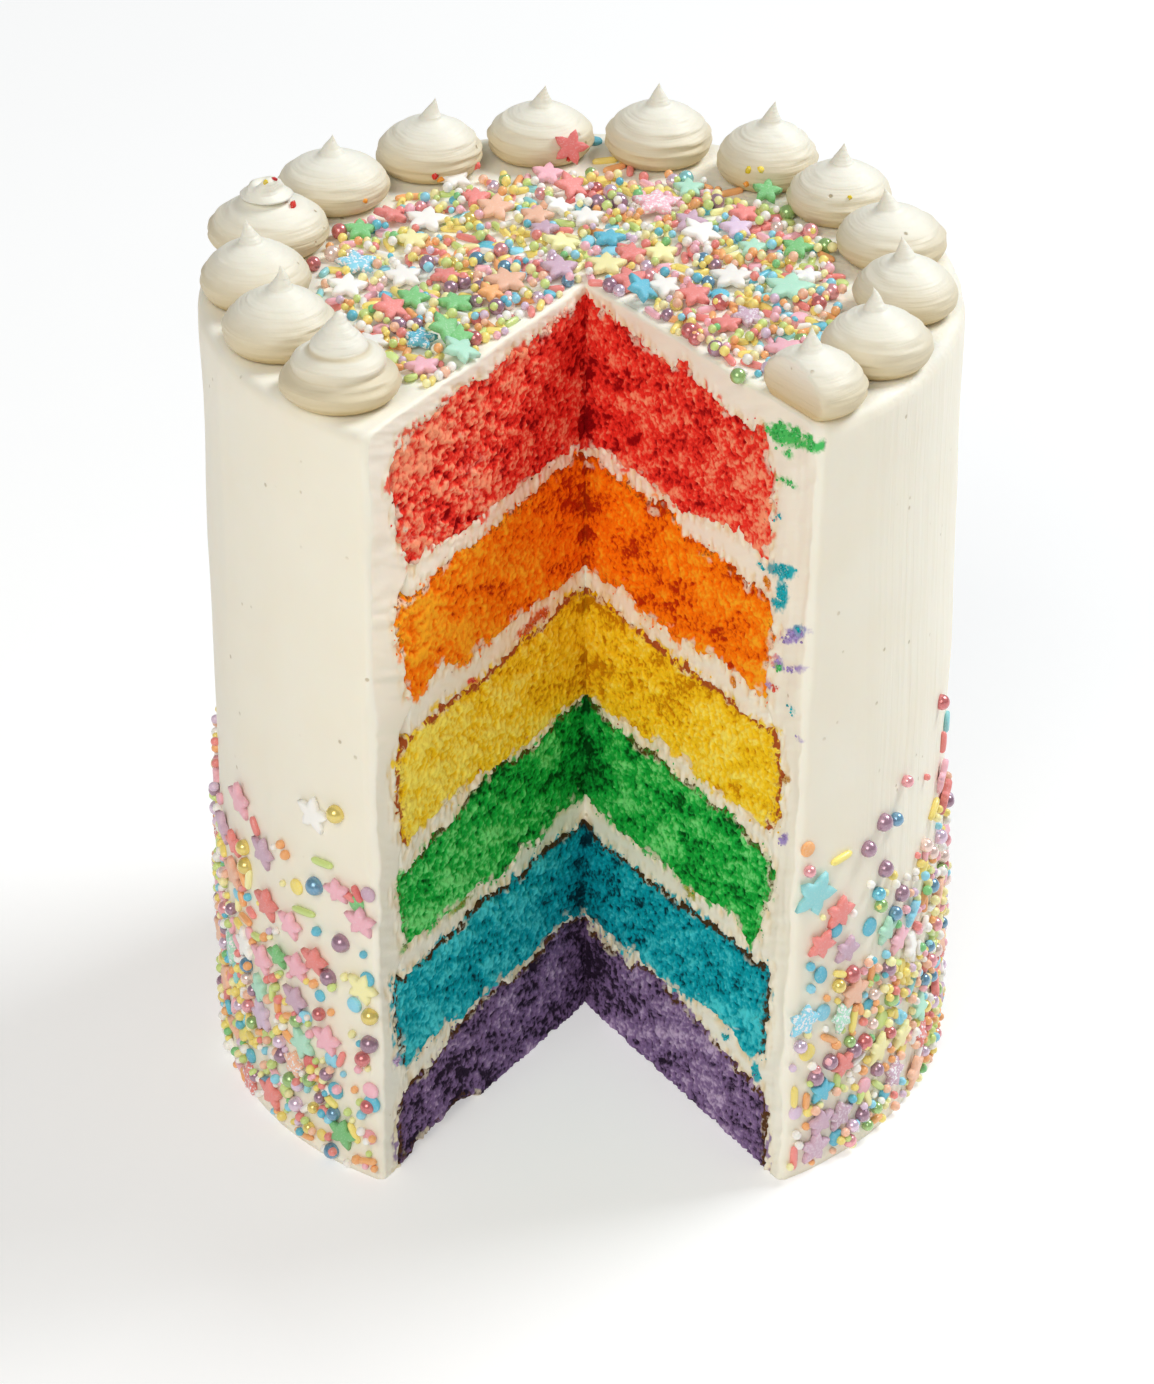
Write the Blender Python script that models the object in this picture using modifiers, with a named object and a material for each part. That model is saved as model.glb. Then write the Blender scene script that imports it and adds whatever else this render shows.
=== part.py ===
"""A tall rainbow cake with one slice taken out.

Six sponges stand in a stack with buttercream between them, and buttercream coats
their top and side. A ring of piped dollops stands on the rim. Sprinkles lie inside
the ring and round the foot of the side. The slice is missing towards -Y.

Metres, +Z up, z = 0 at the underside. The origin is the middle of the cake's box
seen from above, so the cake's own axis stands at y = AXIS_Y.
"""

import math
import random
from collections import namedtuple

import bmesh
import bpy
from mathutils import Matrix, Vector, noise

MM = 0.001

# The buttercream coat.
ICING_RADIUS = 82.0 * MM
ICING_HEIGHT = 185.0 * MM
ICING_STEPS = 60
RIM_ROUNDING = 3.0 * MM
RIM_STEPS = 3

# The coat ends a little above the table, so that the lowest sponge carries the cake.
COAT_FOOT = 0.5 * MM

# Clearance between two pieces that touch.
GAP = 0.3 * MM

# The missing slice: a wedge about -Y whose tip lies just past the cake's axis. Its
# right face is twisted, so that at the table it stands SLICE_TWIST further in.
SLICE_HALF_ANGLE = math.radians(33.75)
SLICE_TWIST = math.radians(4.15)
SLICE_TIP = Vector((0.9 * MM, 1.7 * MM))
SLICE_REACH = 1.6 * ICING_RADIUS
SLICE_STEPS = 7
AXIS_Y = -0.5 * ICING_RADIUS * (1 - math.cos(SLICE_HALF_ANGLE))

# The sponges, bottom to top. Each lies off the axis by its shift, towards -X.
Sponge = namedtuple("Sponge", "name colour thickness radius shift")
SPONGES = (
    Sponge("purple", (0.19, 0.11, 0.32), 22.6 * MM, 75.6 * MM, 0.0 * MM),
    Sponge("blue", (0.02, 0.30, 0.42), 23.4 * MM, 74.8 * MM, 1.9 * MM),
    Sponge("green", (0.06, 0.42, 0.12), 25.2 * MM, 72.7 * MM, 1.5 * MM),
    Sponge("yellow", (0.82, 0.56, 0.07), 25.7 * MM, 74.2 * MM, -1.3 * MM),
    Sponge("orange", (0.88, 0.25, 0.02), 26.0 * MM, 70.1 * MM, 1.5 * MM),
    Sponge("red", (0.70, 0.05, 0.05), 31.6 * MM, 69.2 * MM, 4.8 * MM),
)
FILLINGS = (3.0 * MM, 5.0 * MM, 2.3 * MM, 6.0 * MM, 5.2 * MM)
SPONGE_STEPS = 36
SHOULDER = 2.6 * MM

# The torn crumb on the two cut faces of each sponge.
CRUMB_RELIEF = 0.96 * MM
CRUMB_CUTS = 5
CRUMB_SCALE = 12.0 * MM

# How far a cutter runs past what it cuts.
OVERRUN = 5.0 * MM

# The dollops: 17 would fill the rim, and three of them went with the slice. Each was
# piped by hand, so it stands off its place on the ring by x and y, and its point leans
# to the side. All are in millimetres.
Dollop = namedtuple("Dollop", "radius height x y lean")
DOLLOPS = (
    Dollop(12.8, 18.4, -0.9, -0.3, -0.2),
    Dollop(11.9, 18.0, 0.6, 1.4, 0.8),
    Dollop(11.8, 17.2, 0.4, 0.0, -1.4),
    Dollop(13.2, 16.6, -1.0, 0.0, -0.5),
    Dollop(12.5, 15.4, -0.2, 0.0, 0.1),
    Dollop(12.0, 16.4, 1.3, 0.5, 1.0),
    Dollop(12.0, 16.0, 1.5, 0.0, 1.1),
    Dollop(12.4, 16.9, 2.3, -0.3, 0.3),
    Dollop(11.6, 17.8, 2.7, -2.3, 1.5),
    Dollop(11.6, 16.0, -0.4, -2.9, 0.4),
    Dollop(12.2, 15.6, -1.0, -1.9, -1.3),
    Dollop(11.4, 16.6, -1.1, -2.6, -0.8),
    Dollop(11.6, 16.6, -0.7, -2.6, -1.0),
    Dollop(11.6, 16.6, 1.0, -1.2, 0.0),
)
DOLLOPS_ROUND = 17
FIRST_DOLLOP = math.radians(224.5)
DOLLOP_RING = 70.0 * MM
DOLLOP_STEPS = 12
RINGED_DOLLOP = 0
TORN_DOLLOP = 3
SLICED_DOLLOP = 13

# The dollop's profile. Levels and widths are shares of its height and radius.
DOLLOP_LEVELS = (1.0, 0.9, 0.8, 0.7, 0.6, 0.48, 0.36, 0.22, 0.1, 0.0)
BULB_WIDEST = 0.21
BULB_TOP = 0.73
BULB_ROUND = 1.8
BULB_SLOPE = 0.68
BULB_TUCK = 0.17
POINT_WIDTH = 0.52
POINT_LENGTH = 0.6
POINT_CURVE = 1.15
BLEND = 6
RING_DEPTH = 0.05
RING_PITCH = 0.24
RING_TOP = 0.85
TORN_TOP = ((0.0, 0.82), (0.17, 0.84), (0.25, 0.95), (0.33, 0.8), (0.46, 0.7))

# The sprinkles that are large enough to show as shapes of their own.
STAR_SIZES = (9.5 * MM, 8.0 * MM, 7.0 * MM)
STAR_THICKNESS = 1.7 * MM
STAR_WAIST = 0.52
ROD_LENGTH = 6.5 * MM
ROD_DIAMETER = 1.8 * MM
DISC_SIZE = 4.0 * MM
DISC_THICKNESS = 1.3 * MM
PEARL_SIZE = 3.2 * MM
ON_TOP = {"star": 22, "rod": 12, "disc": 8, "pearl": 21}
ON_SIDE = {"star": 27, "rod": 18, "disc": 10, "pearl": 32}
TOP_FIELD = 56.0 * MM
SIDE_FIELD = 84.0 * MM
SIDE_DENSE = 45.0 * MM
SPRINKLE_FOOT = 0.8 * MM
SPRINKLE_APART = 0.4 * MM
SPRINKLE_TILT = math.radians(9.0)
SPRINKLE_SEED = 7
TRIES = 40

# The pearls that lie right beside the cut, by their height.
EDGE_PEARLS = (12.0 * MM, 24.0 * MM, 43.0 * MM)
EDGE_MARGIN = 0.2 * MM

CREAM = (0.87, 0.82, 0.70)


def clear_scene():
    """Empty the scene of whatever it starts with."""
    for item in list(bpy.data.objects):
        bpy.data.objects.remove(item, do_unlink=True)


def collection(name):
    """A new collection in the scene."""
    made = bpy.data.collections.new(name)
    bpy.context.scene.collection.children.link(made)
    return made


def material(name, colour, roughness):
    """A Principled material of one colour."""
    made = bpy.data.materials.new(name)
    made.use_nodes = True
    shader = made.node_tree.nodes["Principled BSDF"]
    shader.inputs["Base Color"].default_value = (*colour, 1.0)
    shader.inputs["Roughness"].default_value = roughness
    shader.inputs["Metallic"].default_value = 0.0
    return made


def place(mesh, name, where, into, finish=None):
    """An object holding the mesh, at a location measured from the cake's axis."""
    made = bpy.data.objects.new(name, mesh)
    made.location = (where[0], where[1] + AXIS_Y, where[2])
    into.objects.link(made)
    if finish:
        mesh.materials.append(finish)
    return made


def turned(name, profile, steps, where, into, finish=None):
    """A solid of revolution. The profile runs from the axis out, down and back in."""
    mesh = bpy.data.meshes.new(name)
    points = [(radius, 0.0, z) for radius, z in profile]
    mesh.from_pydata(points, [(i, i + 1) for i in range(len(points) - 1)], [])
    made = place(mesh, name, where, into, finish)
    screw = made.modifiers.new("Turn", "SCREW")
    screw.steps = screw.render_steps = steps
    screw.use_merge_vertices = True
    screw.merge_threshold = 0.01 * MM
    return made


def hide_cutter(cutter):
    """Mark an object as a tool that is not part of the cake."""
    cutter.hide_render = True
    cutter.display_type = "WIRE"
    return cutter


def boolean(target, operation, other):
    """Add a Boolean with one object, or with all objects of a collection."""
    modifier = target.modifiers.new(operation.title(), "BOOLEAN")
    modifier.operation = operation
    modifier.solver = "EXACT"
    if isinstance(other, bpy.types.Collection):
        modifier.operand_type = "COLLECTION"
        modifier.collection = other
    else:
        modifier.object = other
    return modifier


def apply_modifiers(target):
    """Replace the object's mesh by its evaluated one."""
    graph = bpy.context.evaluated_depsgraph_get()
    graph.update()
    mesh = bpy.data.meshes.new_from_object(target.evaluated_get(graph))
    target.modifiers.clear()
    target.data = mesh


def disc_profile(radius, bottom, top, shoulder, grow=0.0):
    """A flat cake layer: level top, one sloping shoulder, upright side, level base.

    grow moves every face outwards, for the hollow that the layer sits in.
    """
    return (
        (0.0, top + grow),
        (radius - shoulder + grow, top + grow),
        (radius + grow, top - shoulder + grow),
        (radius + grow, bottom - grow),
        (0.0, bottom - grow),
    )


def plate_profile(radius, bottom, top):
    """A flat plate with upright sides."""
    return ((0.0, top), (radius, top), (radius, bottom), (0.0, bottom))


def stack():
    """Every layer from the bottom up: its kind, index, radius, shift, bottom and top."""
    layers = []
    bottom = 0.0
    for index, sponge in enumerate(SPONGES):
        top = bottom + sponge.thickness
        layers.append(("sponge", index, sponge.radius, sponge.shift, bottom, top))
        bottom = top + GAP
        if index < len(FILLINGS):
            above = SPONGES[index + 1]
            top = bottom + FILLINGS[index]
            radius = (sponge.radius + above.radius) / 2 - SHOULDER
            shift = (sponge.shift + above.shift) / 2
            layers.append(("filling", index, radius, shift, bottom, top))
            bottom = top + GAP
    return layers


def face_angle(x, z):
    """The angle between -Y and the cut face on the side of x, at a height."""
    share = min(max(z / ICING_HEIGHT, 0.0), 1.0)
    return SLICE_HALF_ANGLE - (SLICE_TWIST * (1 - share) if x > 0 else 0.0)


def slice_cutter(name, bottom, top, into, relief=0.0, seed=0):
    """The wedge that the slice leaves free between two heights.

    It starts upright, and each point is then turned to its face's own angle. With
    relief, its two long faces are divided into a net whose points move in and out along
    the face's normal, by smooth noise that fades out at the tip. Without, only its
    upright edges are divided, so that the twist is followed.
    """
    shape = bmesh.new()
    bmesh.ops.create_cone(
        shape, cap_ends=True, segments=3, radius1=1.0, radius2=1.0, depth=1.0
    )
    side, front = math.sin(SLICE_HALF_ANGLE), math.cos(SLICE_HALF_ANGLE)
    for vertex in shape.verts:
        angle = math.atan2(vertex.co.y, vertex.co.x) - math.pi / 2
        corner = round(angle / (2 * math.pi / 3)) % 3
        across = (0.0, -1.0, 1.0)[corner] * side * SLICE_REACH
        along = 0.0 if corner == 0 else -front * SLICE_REACH
        vertex.co = (across, along, top if vertex.co.z > 0 else bottom)
    upright = [
        edge for edge in shape.edges
        if abs(edge.verts[0].co.z - edge.verts[1].co.z) > MM
    ]
    bmesh.ops.subdivide_edges(
        shape,
        edges=shape.edges[:] if relief else upright,
        cuts=CRUMB_CUTS if relief else SLICE_STEPS,
        use_grid_fill=True,
    )
    offset = Vector((seed * 1.7, seed * 0.9, 0.0))
    for vertex in shape.verts:
        x, y, z = vertex.co
        away = math.hypot(x, y)
        if abs(abs(x) * front + y * side) > 0.01 * MM or away < 0.01 * MM:
            continue
        sign, angle = math.copysign(1.0, x), face_angle(x, z)
        amount = 0.0
        if relief and away > CRUMB_SCALE / 2:
            amount = relief * noise.noise(vertex.co / CRUMB_SCALE + offset)
        vertex.co.x = sign * (away * math.sin(angle) + amount * math.cos(angle))
        vertex.co.y = -away * math.cos(angle) + amount * math.sin(angle)
    bmesh.ops.recalc_face_normals(shape, faces=shape.faces)
    mesh = bpy.data.meshes.new(name)
    shape.to_mesh(mesh)
    shape.free()
    return hide_cutter(place(mesh, name, (*SLICE_TIP, 0.0), into))


def build_layers(cake, cutters, clean_slice, cream):
    """The sponges, each cut by its own torn wedge, and the fillings, cut clean."""
    for kind, index, radius, shift, bottom, top in stack():
        where = (-shift, 0.0, 0.0)
        if kind == "sponge":
            sponge = SPONGES[index]
            name = "sponge_" + sponge.name
            finish = material(name, sponge.colour, 0.9)
            profile = disc_profile(radius, bottom, top, SHOULDER)
            made = turned(name, profile, SPONGE_STEPS, where, cake, finish)
            cutter = slice_cutter(
                "torn_slice_" + sponge.name,
                bottom - OVERRUN,
                top + OVERRUN,
                cutters,
                CRUMB_RELIEF,
                index + 1,
            )
        else:
            below, above = SPONGES[index].name, SPONGES[index + 1].name
            name = f"filling_{below}_{above}"
            profile = plate_profile(radius, bottom, top)
            made = turned(name, profile, SPONGE_STEPS, where, cake, cream)
            cutter = clean_slice
        boolean(made, "DIFFERENCE", cutter)


def build_hollow(cutters):
    """The cutters for the hollow of the coat: every layer, grown by the gap."""
    hollow = bpy.data.collections.new("coat_hollow")
    cutters.children.link(hollow)
    for kind, index, radius, shift, bottom, top in stack():
        if kind == "sponge":
            low = bottom if index else bottom - OVERRUN
            profile = disc_profile(radius, low, top, SHOULDER, GAP)
        else:
            profile = plate_profile(radius + GAP, bottom - GAP, top + GAP)
        name = f"hollow_{kind}_{index}"
        hide_cutter(turned(name, profile, SPONGE_STEPS, (-shift, 0, 0), hollow))
    return hollow


def coat_profile():
    """The outside of the coat: level top, rounded rim, upright side, level foot."""
    points = [(0.0, ICING_HEIGHT)]
    for step in range(RIM_STEPS + 1):
        turn = math.pi / 2 * (1 - step / RIM_STEPS)
        radius = ICING_RADIUS - RIM_ROUNDING * (1 - math.cos(turn))
        height = ICING_HEIGHT - RIM_ROUNDING * (1 - math.sin(turn))
        points.append((radius, height))
    points.append((ICING_RADIUS, COAT_FOOT))
    points.append((0.0, COAT_FOOT))
    return points


def slice_clearance(x, y, z):
    """How far a point, from the axis and the table, lies outside the missing slice."""
    x, y = x - SLICE_TIP.x, y - SLICE_TIP.y
    angle = face_angle(x, z)
    return abs(x) * math.cos(angle) + y * math.sin(angle)


def dollop_spot(index):
    """The place of a dollop from the axis. They count clockwise from above."""
    angle = FIRST_DOLLOP - index * 2 * math.pi / DOLLOPS_ROUND
    on_ring = Vector((math.cos(angle), math.sin(angle))) * DOLLOP_RING
    return on_ring + Vector((DOLLOPS[index].x, DOLLOPS[index].y)) * MM


def dollop_outline(index, radius, height):
    """The profile of a piped kiss, from its tip down to its foot.

    A round bulb, widest at a fifth of its height, carries a slender point with hollow
    flanks. The two are blended by adding their sixth powers. The ringed dollop also
    has folds, and the torn one ends in a short open neck instead of the point.
    """
    points = []
    for level in DOLLOP_LEVELS:
        rise = max(0.0, (level - BULB_WIDEST) / (BULB_TOP - BULB_WIDEST))
        bulb = max(0.0, 1 - rise**BULB_ROUND) ** BULB_SLOPE
        point = POINT_WIDTH * ((1 - level) / POINT_LENGTH) ** POINT_CURVE
        if level < BULB_WIDEST:
            bulb = 1 - BULB_TUCK * (1 - level / BULB_WIDEST) ** 2
            point = 0.0
        width = (bulb**BLEND + point**BLEND) ** (1 / BLEND)
        if index == RINGED_DOLLOP and 0 < level < RING_TOP:
            width *= 1 + RING_DEPTH * math.cos(2 * math.pi * level / RING_PITCH)
        points.append((radius * width, height * level))
    points[0] = (0.0, height)
    if index == TORN_DOLLOP:
        points = [(r * radius, z * height) for r, z in TORN_TOP] + points[4:]
    return points + [(0.0, 0.0)]


def build_dollop(index, cake, cream, clean_slice):
    """One dollop: the outline spun round, its point leaning a little to the side."""
    radius, height = DOLLOPS[index].radius * MM, DOLLOPS[index].height * MM
    lean = DOLLOPS[index].lean * MM
    shape = bmesh.new()
    outline = [(r, 0.0, z) for r, z in dollop_outline(index, radius, height)]
    points = [shape.verts.new(point) for point in outline]
    edges = [shape.edges.new(pair) for pair in zip(points, points[1:])]
    bmesh.ops.spin(
        shape,
        geom=points + edges,
        cent=(0, 0, 0),
        axis=(0, 0, 1),
        angle=2 * math.pi,
        steps=DOLLOP_STEPS,
        use_merge=True,
    )
    bmesh.ops.remove_doubles(shape, verts=shape.verts, dist=0.01 * MM)
    for vertex in shape.verts:
        vertex.co.x += lean * (vertex.co.z / height) ** 2
    bmesh.ops.recalc_face_normals(shape, faces=shape.faces)
    name = f"dollop_{index + 1:02d}"
    mesh = bpy.data.meshes.new(name)
    shape.to_mesh(mesh)
    shape.free()
    mesh.shade_smooth()
    made = place(mesh, name, (*dollop_spot(index), ICING_HEIGHT + GAP), cake, cream)
    if index == SLICED_DOLLOP:
        boolean(made, "DIFFERENCE", clean_slice)


def star(size, thickness):
    """A flat five-pointed star, from a ten-sided plate with every other corner in."""
    shape = bmesh.new()
    bmesh.ops.create_cone(
        shape,
        cap_ends=True,
        segments=10,
        radius1=size / 2,
        radius2=size / 2,
        depth=thickness,
    )
    for vertex in shape.verts:
        corner = round(math.atan2(vertex.co.x, vertex.co.y) / math.radians(36))
        if corner % 2:
            vertex.co.x *= STAR_WAIST
            vertex.co.y *= STAR_WAIST
    return shape


def rod(length, diameter):
    """A six-sided rod that lies along X."""
    shape = bmesh.new()
    bmesh.ops.create_cone(
        shape,
        cap_ends=True,
        segments=6,
        radius1=diameter / 2,
        radius2=diameter / 2,
        depth=length,
        matrix=Matrix.Rotation(math.pi / 2, 4, "Y"),
    )
    return shape


def disc(size, thickness):
    """A flat round plate."""
    shape = bmesh.new()
    bmesh.ops.create_cone(
        shape,
        cap_ends=True,
        segments=8,
        radius1=size / 2,
        radius2=size / 2,
        depth=thickness,
    )
    return shape


def pearl(size, _):
    """A small ball."""
    shape = bmesh.new()
    bmesh.ops.create_uvsphere(shape, u_segments=6, v_segments=4, radius=size / 2)
    return shape


Shape = namedtuple("Shape", "make sizes thickness sink")
SHAPES = {
    "star": Shape(star, STAR_SIZES, STAR_THICKNESS, 0.5 * MM),
    "rod": Shape(rod, (ROD_LENGTH,), ROD_DIAMETER, 0.5 * MM),
    "disc": Shape(disc, (DISC_SIZE,), DISC_THICKNESS, 0.4 * MM),
    "pearl": Shape(pearl, (PEARL_SIZE,), PEARL_SIZE, 0.8 * MM),
}


def free_on_top(x, y, size):
    """Whether a sprinkle fits here on the top, clear of the slice and the dollops."""
    clearance = slice_clearance(x, y, ICING_HEIGHT)
    if math.hypot(x, y) > TOP_FIELD or clearance < size / 2 + 0.5 * MM:
        return False
    for index, dollop in enumerate(DOLLOPS):
        apart = (Vector((x, y)) - dollop_spot(index)).length
        if apart < dollop.radius * MM + size / 2 + 0.6 * MM:
            return False
    return True


def top_spot(size, rng):
    """A random place on the top as point, normal and weight, or None."""
    x, y = rng.uniform(-TOP_FIELD, TOP_FIELD), rng.uniform(-TOP_FIELD, TOP_FIELD)
    if not free_on_top(x, y, size):
        return None
    return Vector((x, y, ICING_HEIGHT)), Vector((0, 0, 1)), 1.0


def side_spot(size, rng):
    """A random place on the lower side as point, normal and weight, or None.

    Above SIDE_DENSE a place counts for less, so the sprinkles thin out upwards.
    """
    angle = rng.uniform(0, 2 * math.pi)
    height = rng.uniform(size / 2 + SPRINKLE_FOOT, SIDE_FIELD)
    normal = Vector((math.cos(angle), math.sin(angle), 0))
    point = normal * ICING_RADIUS
    if slice_clearance(point.x, point.y, height) < size / 2 + 0.8 * MM:
        return None
    thin = max(0.0, (height - SIDE_DENSE) / (SIDE_FIELD - SIDE_DENSE))
    return point + Vector((0, 0, height)), normal, 1 - 0.75 * thin


def edge_spots():
    """The places right beside the two cut edges, as point and normal.

    A direction d on the side is at a distance c from a cut face whose normal points
    to n, where ICING_RADIUS cos(d - n) = c + SLICE_TIP . n.
    """
    spots = []
    for sign in (1, -1):
        for height in EDGE_PEARLS:
            normal = math.pi / 2 - sign * (math.pi / 2 - face_angle(sign, height))
            offset = SLICE_TIP.dot(Vector((math.cos(normal), math.sin(normal))))
            share = (PEARL_SIZE / 2 + EDGE_MARGIN + offset) / ICING_RADIUS
            angle = normal - sign * math.acos(share)
            outward = Vector((math.cos(angle), math.sin(angle), 0))
            spots.append((outward * ICING_RADIUS + Vector((0, 0, height)), outward))
    return spots


def scatter(counts, spot, taken, into, rng):
    """Place the sprinkles, the largest first, each in the freest of several places.

    taken holds the points and sizes of those that are there already.
    """
    for kind, count in counts.items():
        shape = SHAPES[kind]
        for number in range(count):
            size = shape.sizes[number % len(shape.sizes)]
            best = None
            for _ in range(TRIES):
                drawn = spot(size, rng)
                if drawn is None:
                    continue
                room = min(
                    ((drawn[0] - o).length - (size + s) / 2 for o, s in taken),
                    default=ICING_RADIUS,
                )
                if room > SPRINKLE_APART and (best is None or room * drawn[2] > best[0]):
                    best = (room * drawn[2], drawn)
            if best is None:
                continue
            point, normal, _ = best[1]
            taken.append((point, size))
            lay_sprinkle(shape, size, point, normal, into, rng)


def lay_sprinkle(shape, size, point, normal, into, rng):
    """One sprinkle on the surface, turned and tilted at random and pressed in."""
    tilt = rng.uniform(-SPRINKLE_TILT, SPRINKLE_TILT)
    turn = Matrix.Rotation(rng.uniform(0, 2 * math.pi), 4, "Z")
    upright = normal.to_track_quat("Z", "Y").to_matrix().to_4x4()
    centre = point + normal * (shape.thickness / 2 - shape.sink)
    made = shape.make(size, shape.thickness)
    made.transform(upright @ turn @ Matrix.Rotation(tilt, 4, "X"))
    mesh = bpy.data.meshes.new("sprinkle")
    made.to_mesh(mesh)
    made.free()
    place(mesh, "sprinkle", centre, into)


def build_coat(cake, cutters, clean_slice, cream):
    """The buttercream coat with its hollow and slice cut and its sprinkles fused on."""
    coat = turned("icing_coat", coat_profile(), ICING_STEPS, (0, 0, 0), cake, cream)
    boolean(coat, "DIFFERENCE", build_hollow(cutters))
    boolean(coat, "DIFFERENCE", clean_slice)
    rng = random.Random(SPRINKLE_SEED)
    sprinkles = collection("sprinkles")
    beside_cut = edge_spots()
    scatter(ON_TOP, top_spot, [], sprinkles, rng)
    taken = [(point, PEARL_SIZE) for point, _ in beside_cut]
    scatter(ON_SIDE, side_spot, taken, sprinkles, rng)
    for point, normal in beside_cut:
        lay_sprinkle(SHAPES["pearl"], PEARL_SIZE, point, normal, sprinkles, rng)
    boolean(coat, "UNION", sprinkles)
    apply_modifiers(coat)
    for item in list(sprinkles.objects):
        bpy.data.objects.remove(item, do_unlink=True)
    bpy.data.collections.remove(sprinkles)
    coat.data.materials.clear()
    coat.data.materials.append(cream)


def main():
    """Build the whole cake."""
    clear_scene()
    cake, cutters = collection("rainbow_cake"), collection("cutters")
    cream = material("buttercream", CREAM, 0.5)
    over_all = ICING_HEIGHT + max(dollop.height for dollop in DOLLOPS) * MM
    clean_slice = slice_cutter("clean_slice", -OVERRUN, over_all + OVERRUN, cutters)
    build_layers(cake, cutters, clean_slice, cream)
    build_coat(cake, cutters, clean_slice, cream)
    for index in range(len(DOLLOPS)):
        build_dollop(index, cake, cream, clean_slice)


main()
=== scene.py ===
"""The looks of a rainbow layer cake with one slice missing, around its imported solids.

Lengths are millimetres until a mesh is made, where MM turns them into metres. Seeds are
fixed, so every run gives the same cake. The cake's axis stands at x 0, y AXIS_Y, and the
missing slice opens towards -Y.
"""

import logging
import math
from dataclasses import dataclass, field, replace
from enum import Enum

import bmesh
import bpy
import numpy as np
from bpy.types import Material, Mesh, Node, NodeSocket, NodeTree, Object
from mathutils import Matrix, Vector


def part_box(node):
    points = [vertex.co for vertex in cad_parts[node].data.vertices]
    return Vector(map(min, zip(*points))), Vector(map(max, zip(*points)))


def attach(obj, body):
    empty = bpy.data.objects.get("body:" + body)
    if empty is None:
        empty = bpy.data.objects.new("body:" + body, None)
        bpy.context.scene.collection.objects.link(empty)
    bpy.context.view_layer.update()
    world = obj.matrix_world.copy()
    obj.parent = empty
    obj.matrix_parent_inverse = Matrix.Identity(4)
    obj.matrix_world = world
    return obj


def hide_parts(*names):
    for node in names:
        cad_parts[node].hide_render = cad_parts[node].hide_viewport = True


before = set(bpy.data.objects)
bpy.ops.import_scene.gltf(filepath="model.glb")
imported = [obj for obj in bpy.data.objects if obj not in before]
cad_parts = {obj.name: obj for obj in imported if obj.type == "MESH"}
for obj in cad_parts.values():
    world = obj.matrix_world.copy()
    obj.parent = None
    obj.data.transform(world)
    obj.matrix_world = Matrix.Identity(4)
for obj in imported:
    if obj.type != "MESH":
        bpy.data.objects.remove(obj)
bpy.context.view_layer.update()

LOG = logging.getLogger("cake")
MM = 0.001
Array = np.ndarray
Line = tuple[tuple[float, float], ...]
Point = Colour = tuple[float, float, float]
Pair = tuple[Array, Array]

AXIS_Y = -6.91
ICING_RADIUS = 82.0
ICING_HEIGHT = 185.0
ROUND_TRIP = 2 * math.pi * ICING_RADIUS
MERGE_DISTANCE = 2e-7
SMOOTH_OVER = 9


# ---- numbers and noise


def tone(red: float, green: float, blue: float) -> Colour:
    """A colour as seen, 0 to 255 a channel, turned into the linear one a shader takes."""
    seen = np.array((red, green, blue)) / 255.0
    return tuple(np.where(seen <= 0.04045, seen / 12.92, ((seen + 0.055) / 1.055) ** 2.4).tolist())


def line(pairs: str) -> Line:
    """Reads pairs of numbers, such as "0 78, 8 77.8"."""
    return tuple(tuple(float(number) for number in pair.split()) for pair in pairs.split(","))


def entries(rows: str) -> list[tuple[list[str], list[float]]]:
    """Reads entries such as "star pink 4 52 8; rod red 1 3 5".

    Args:
        rows: Entries parted by semicolons, each with its words before its numbers.

    Returns:
        The words and the numbers of each entry.
    """
    found = []
    for row in rows.split(";"):
        parts = row.split()
        words = [part for part in parts if part.isalpha()]
        found.append((words, [float(part) for part in parts[len(words):]]))
    return found


def tones(rows: str) -> dict[str, Colour]:
    """Colours by name, from entries of a name, red, green and blue."""
    return {words[0]: tone(*numbers) for words, numbers in entries(rows)}


def smoothed(values: Array) -> Array:
    """The running mean over SMOOTH_OVER values, with the end values held."""
    padded = np.pad(values, SMOOTH_OVER // 2, mode="edge")
    return np.convolve(padded, np.ones(SMOOTH_OVER) / SMOOTH_OVER, "valid")


def ease(low: float, high: float, value: Array) -> Array:
    """0 below low, 1 above high, and 3x^2 - 2x^3 between. It falls where low > high."""
    share = np.clip((value - low) / (high - low), 0.0, 1.0)
    return share * share * (3.0 - 2.0 * share)


def lattice(column: Array, row: Array, seed: int) -> Array:
    """A number for each whole-numbered place, by scrambling its bits.

    Args:
        column, row: The places.
        seed: Picks the pattern.

    Returns:
        Numbers from 0 to 1.
    """
    mask = 0xFFFFFFFF
    column, row = column.astype(np.int64), row.astype(np.int64)
    mixed = (column * 374761393 + row * 668265263 + seed * 974634777) & mask
    mixed = ((mixed ^ (mixed >> 13)) * 1274126177) & mask
    mixed = ((mixed ^ (mixed >> 16)) * 1103515245) & mask
    return ((mixed ^ (mixed >> 15)) & 0xFFFFFF) / float(0xFFFFFF)


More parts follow.
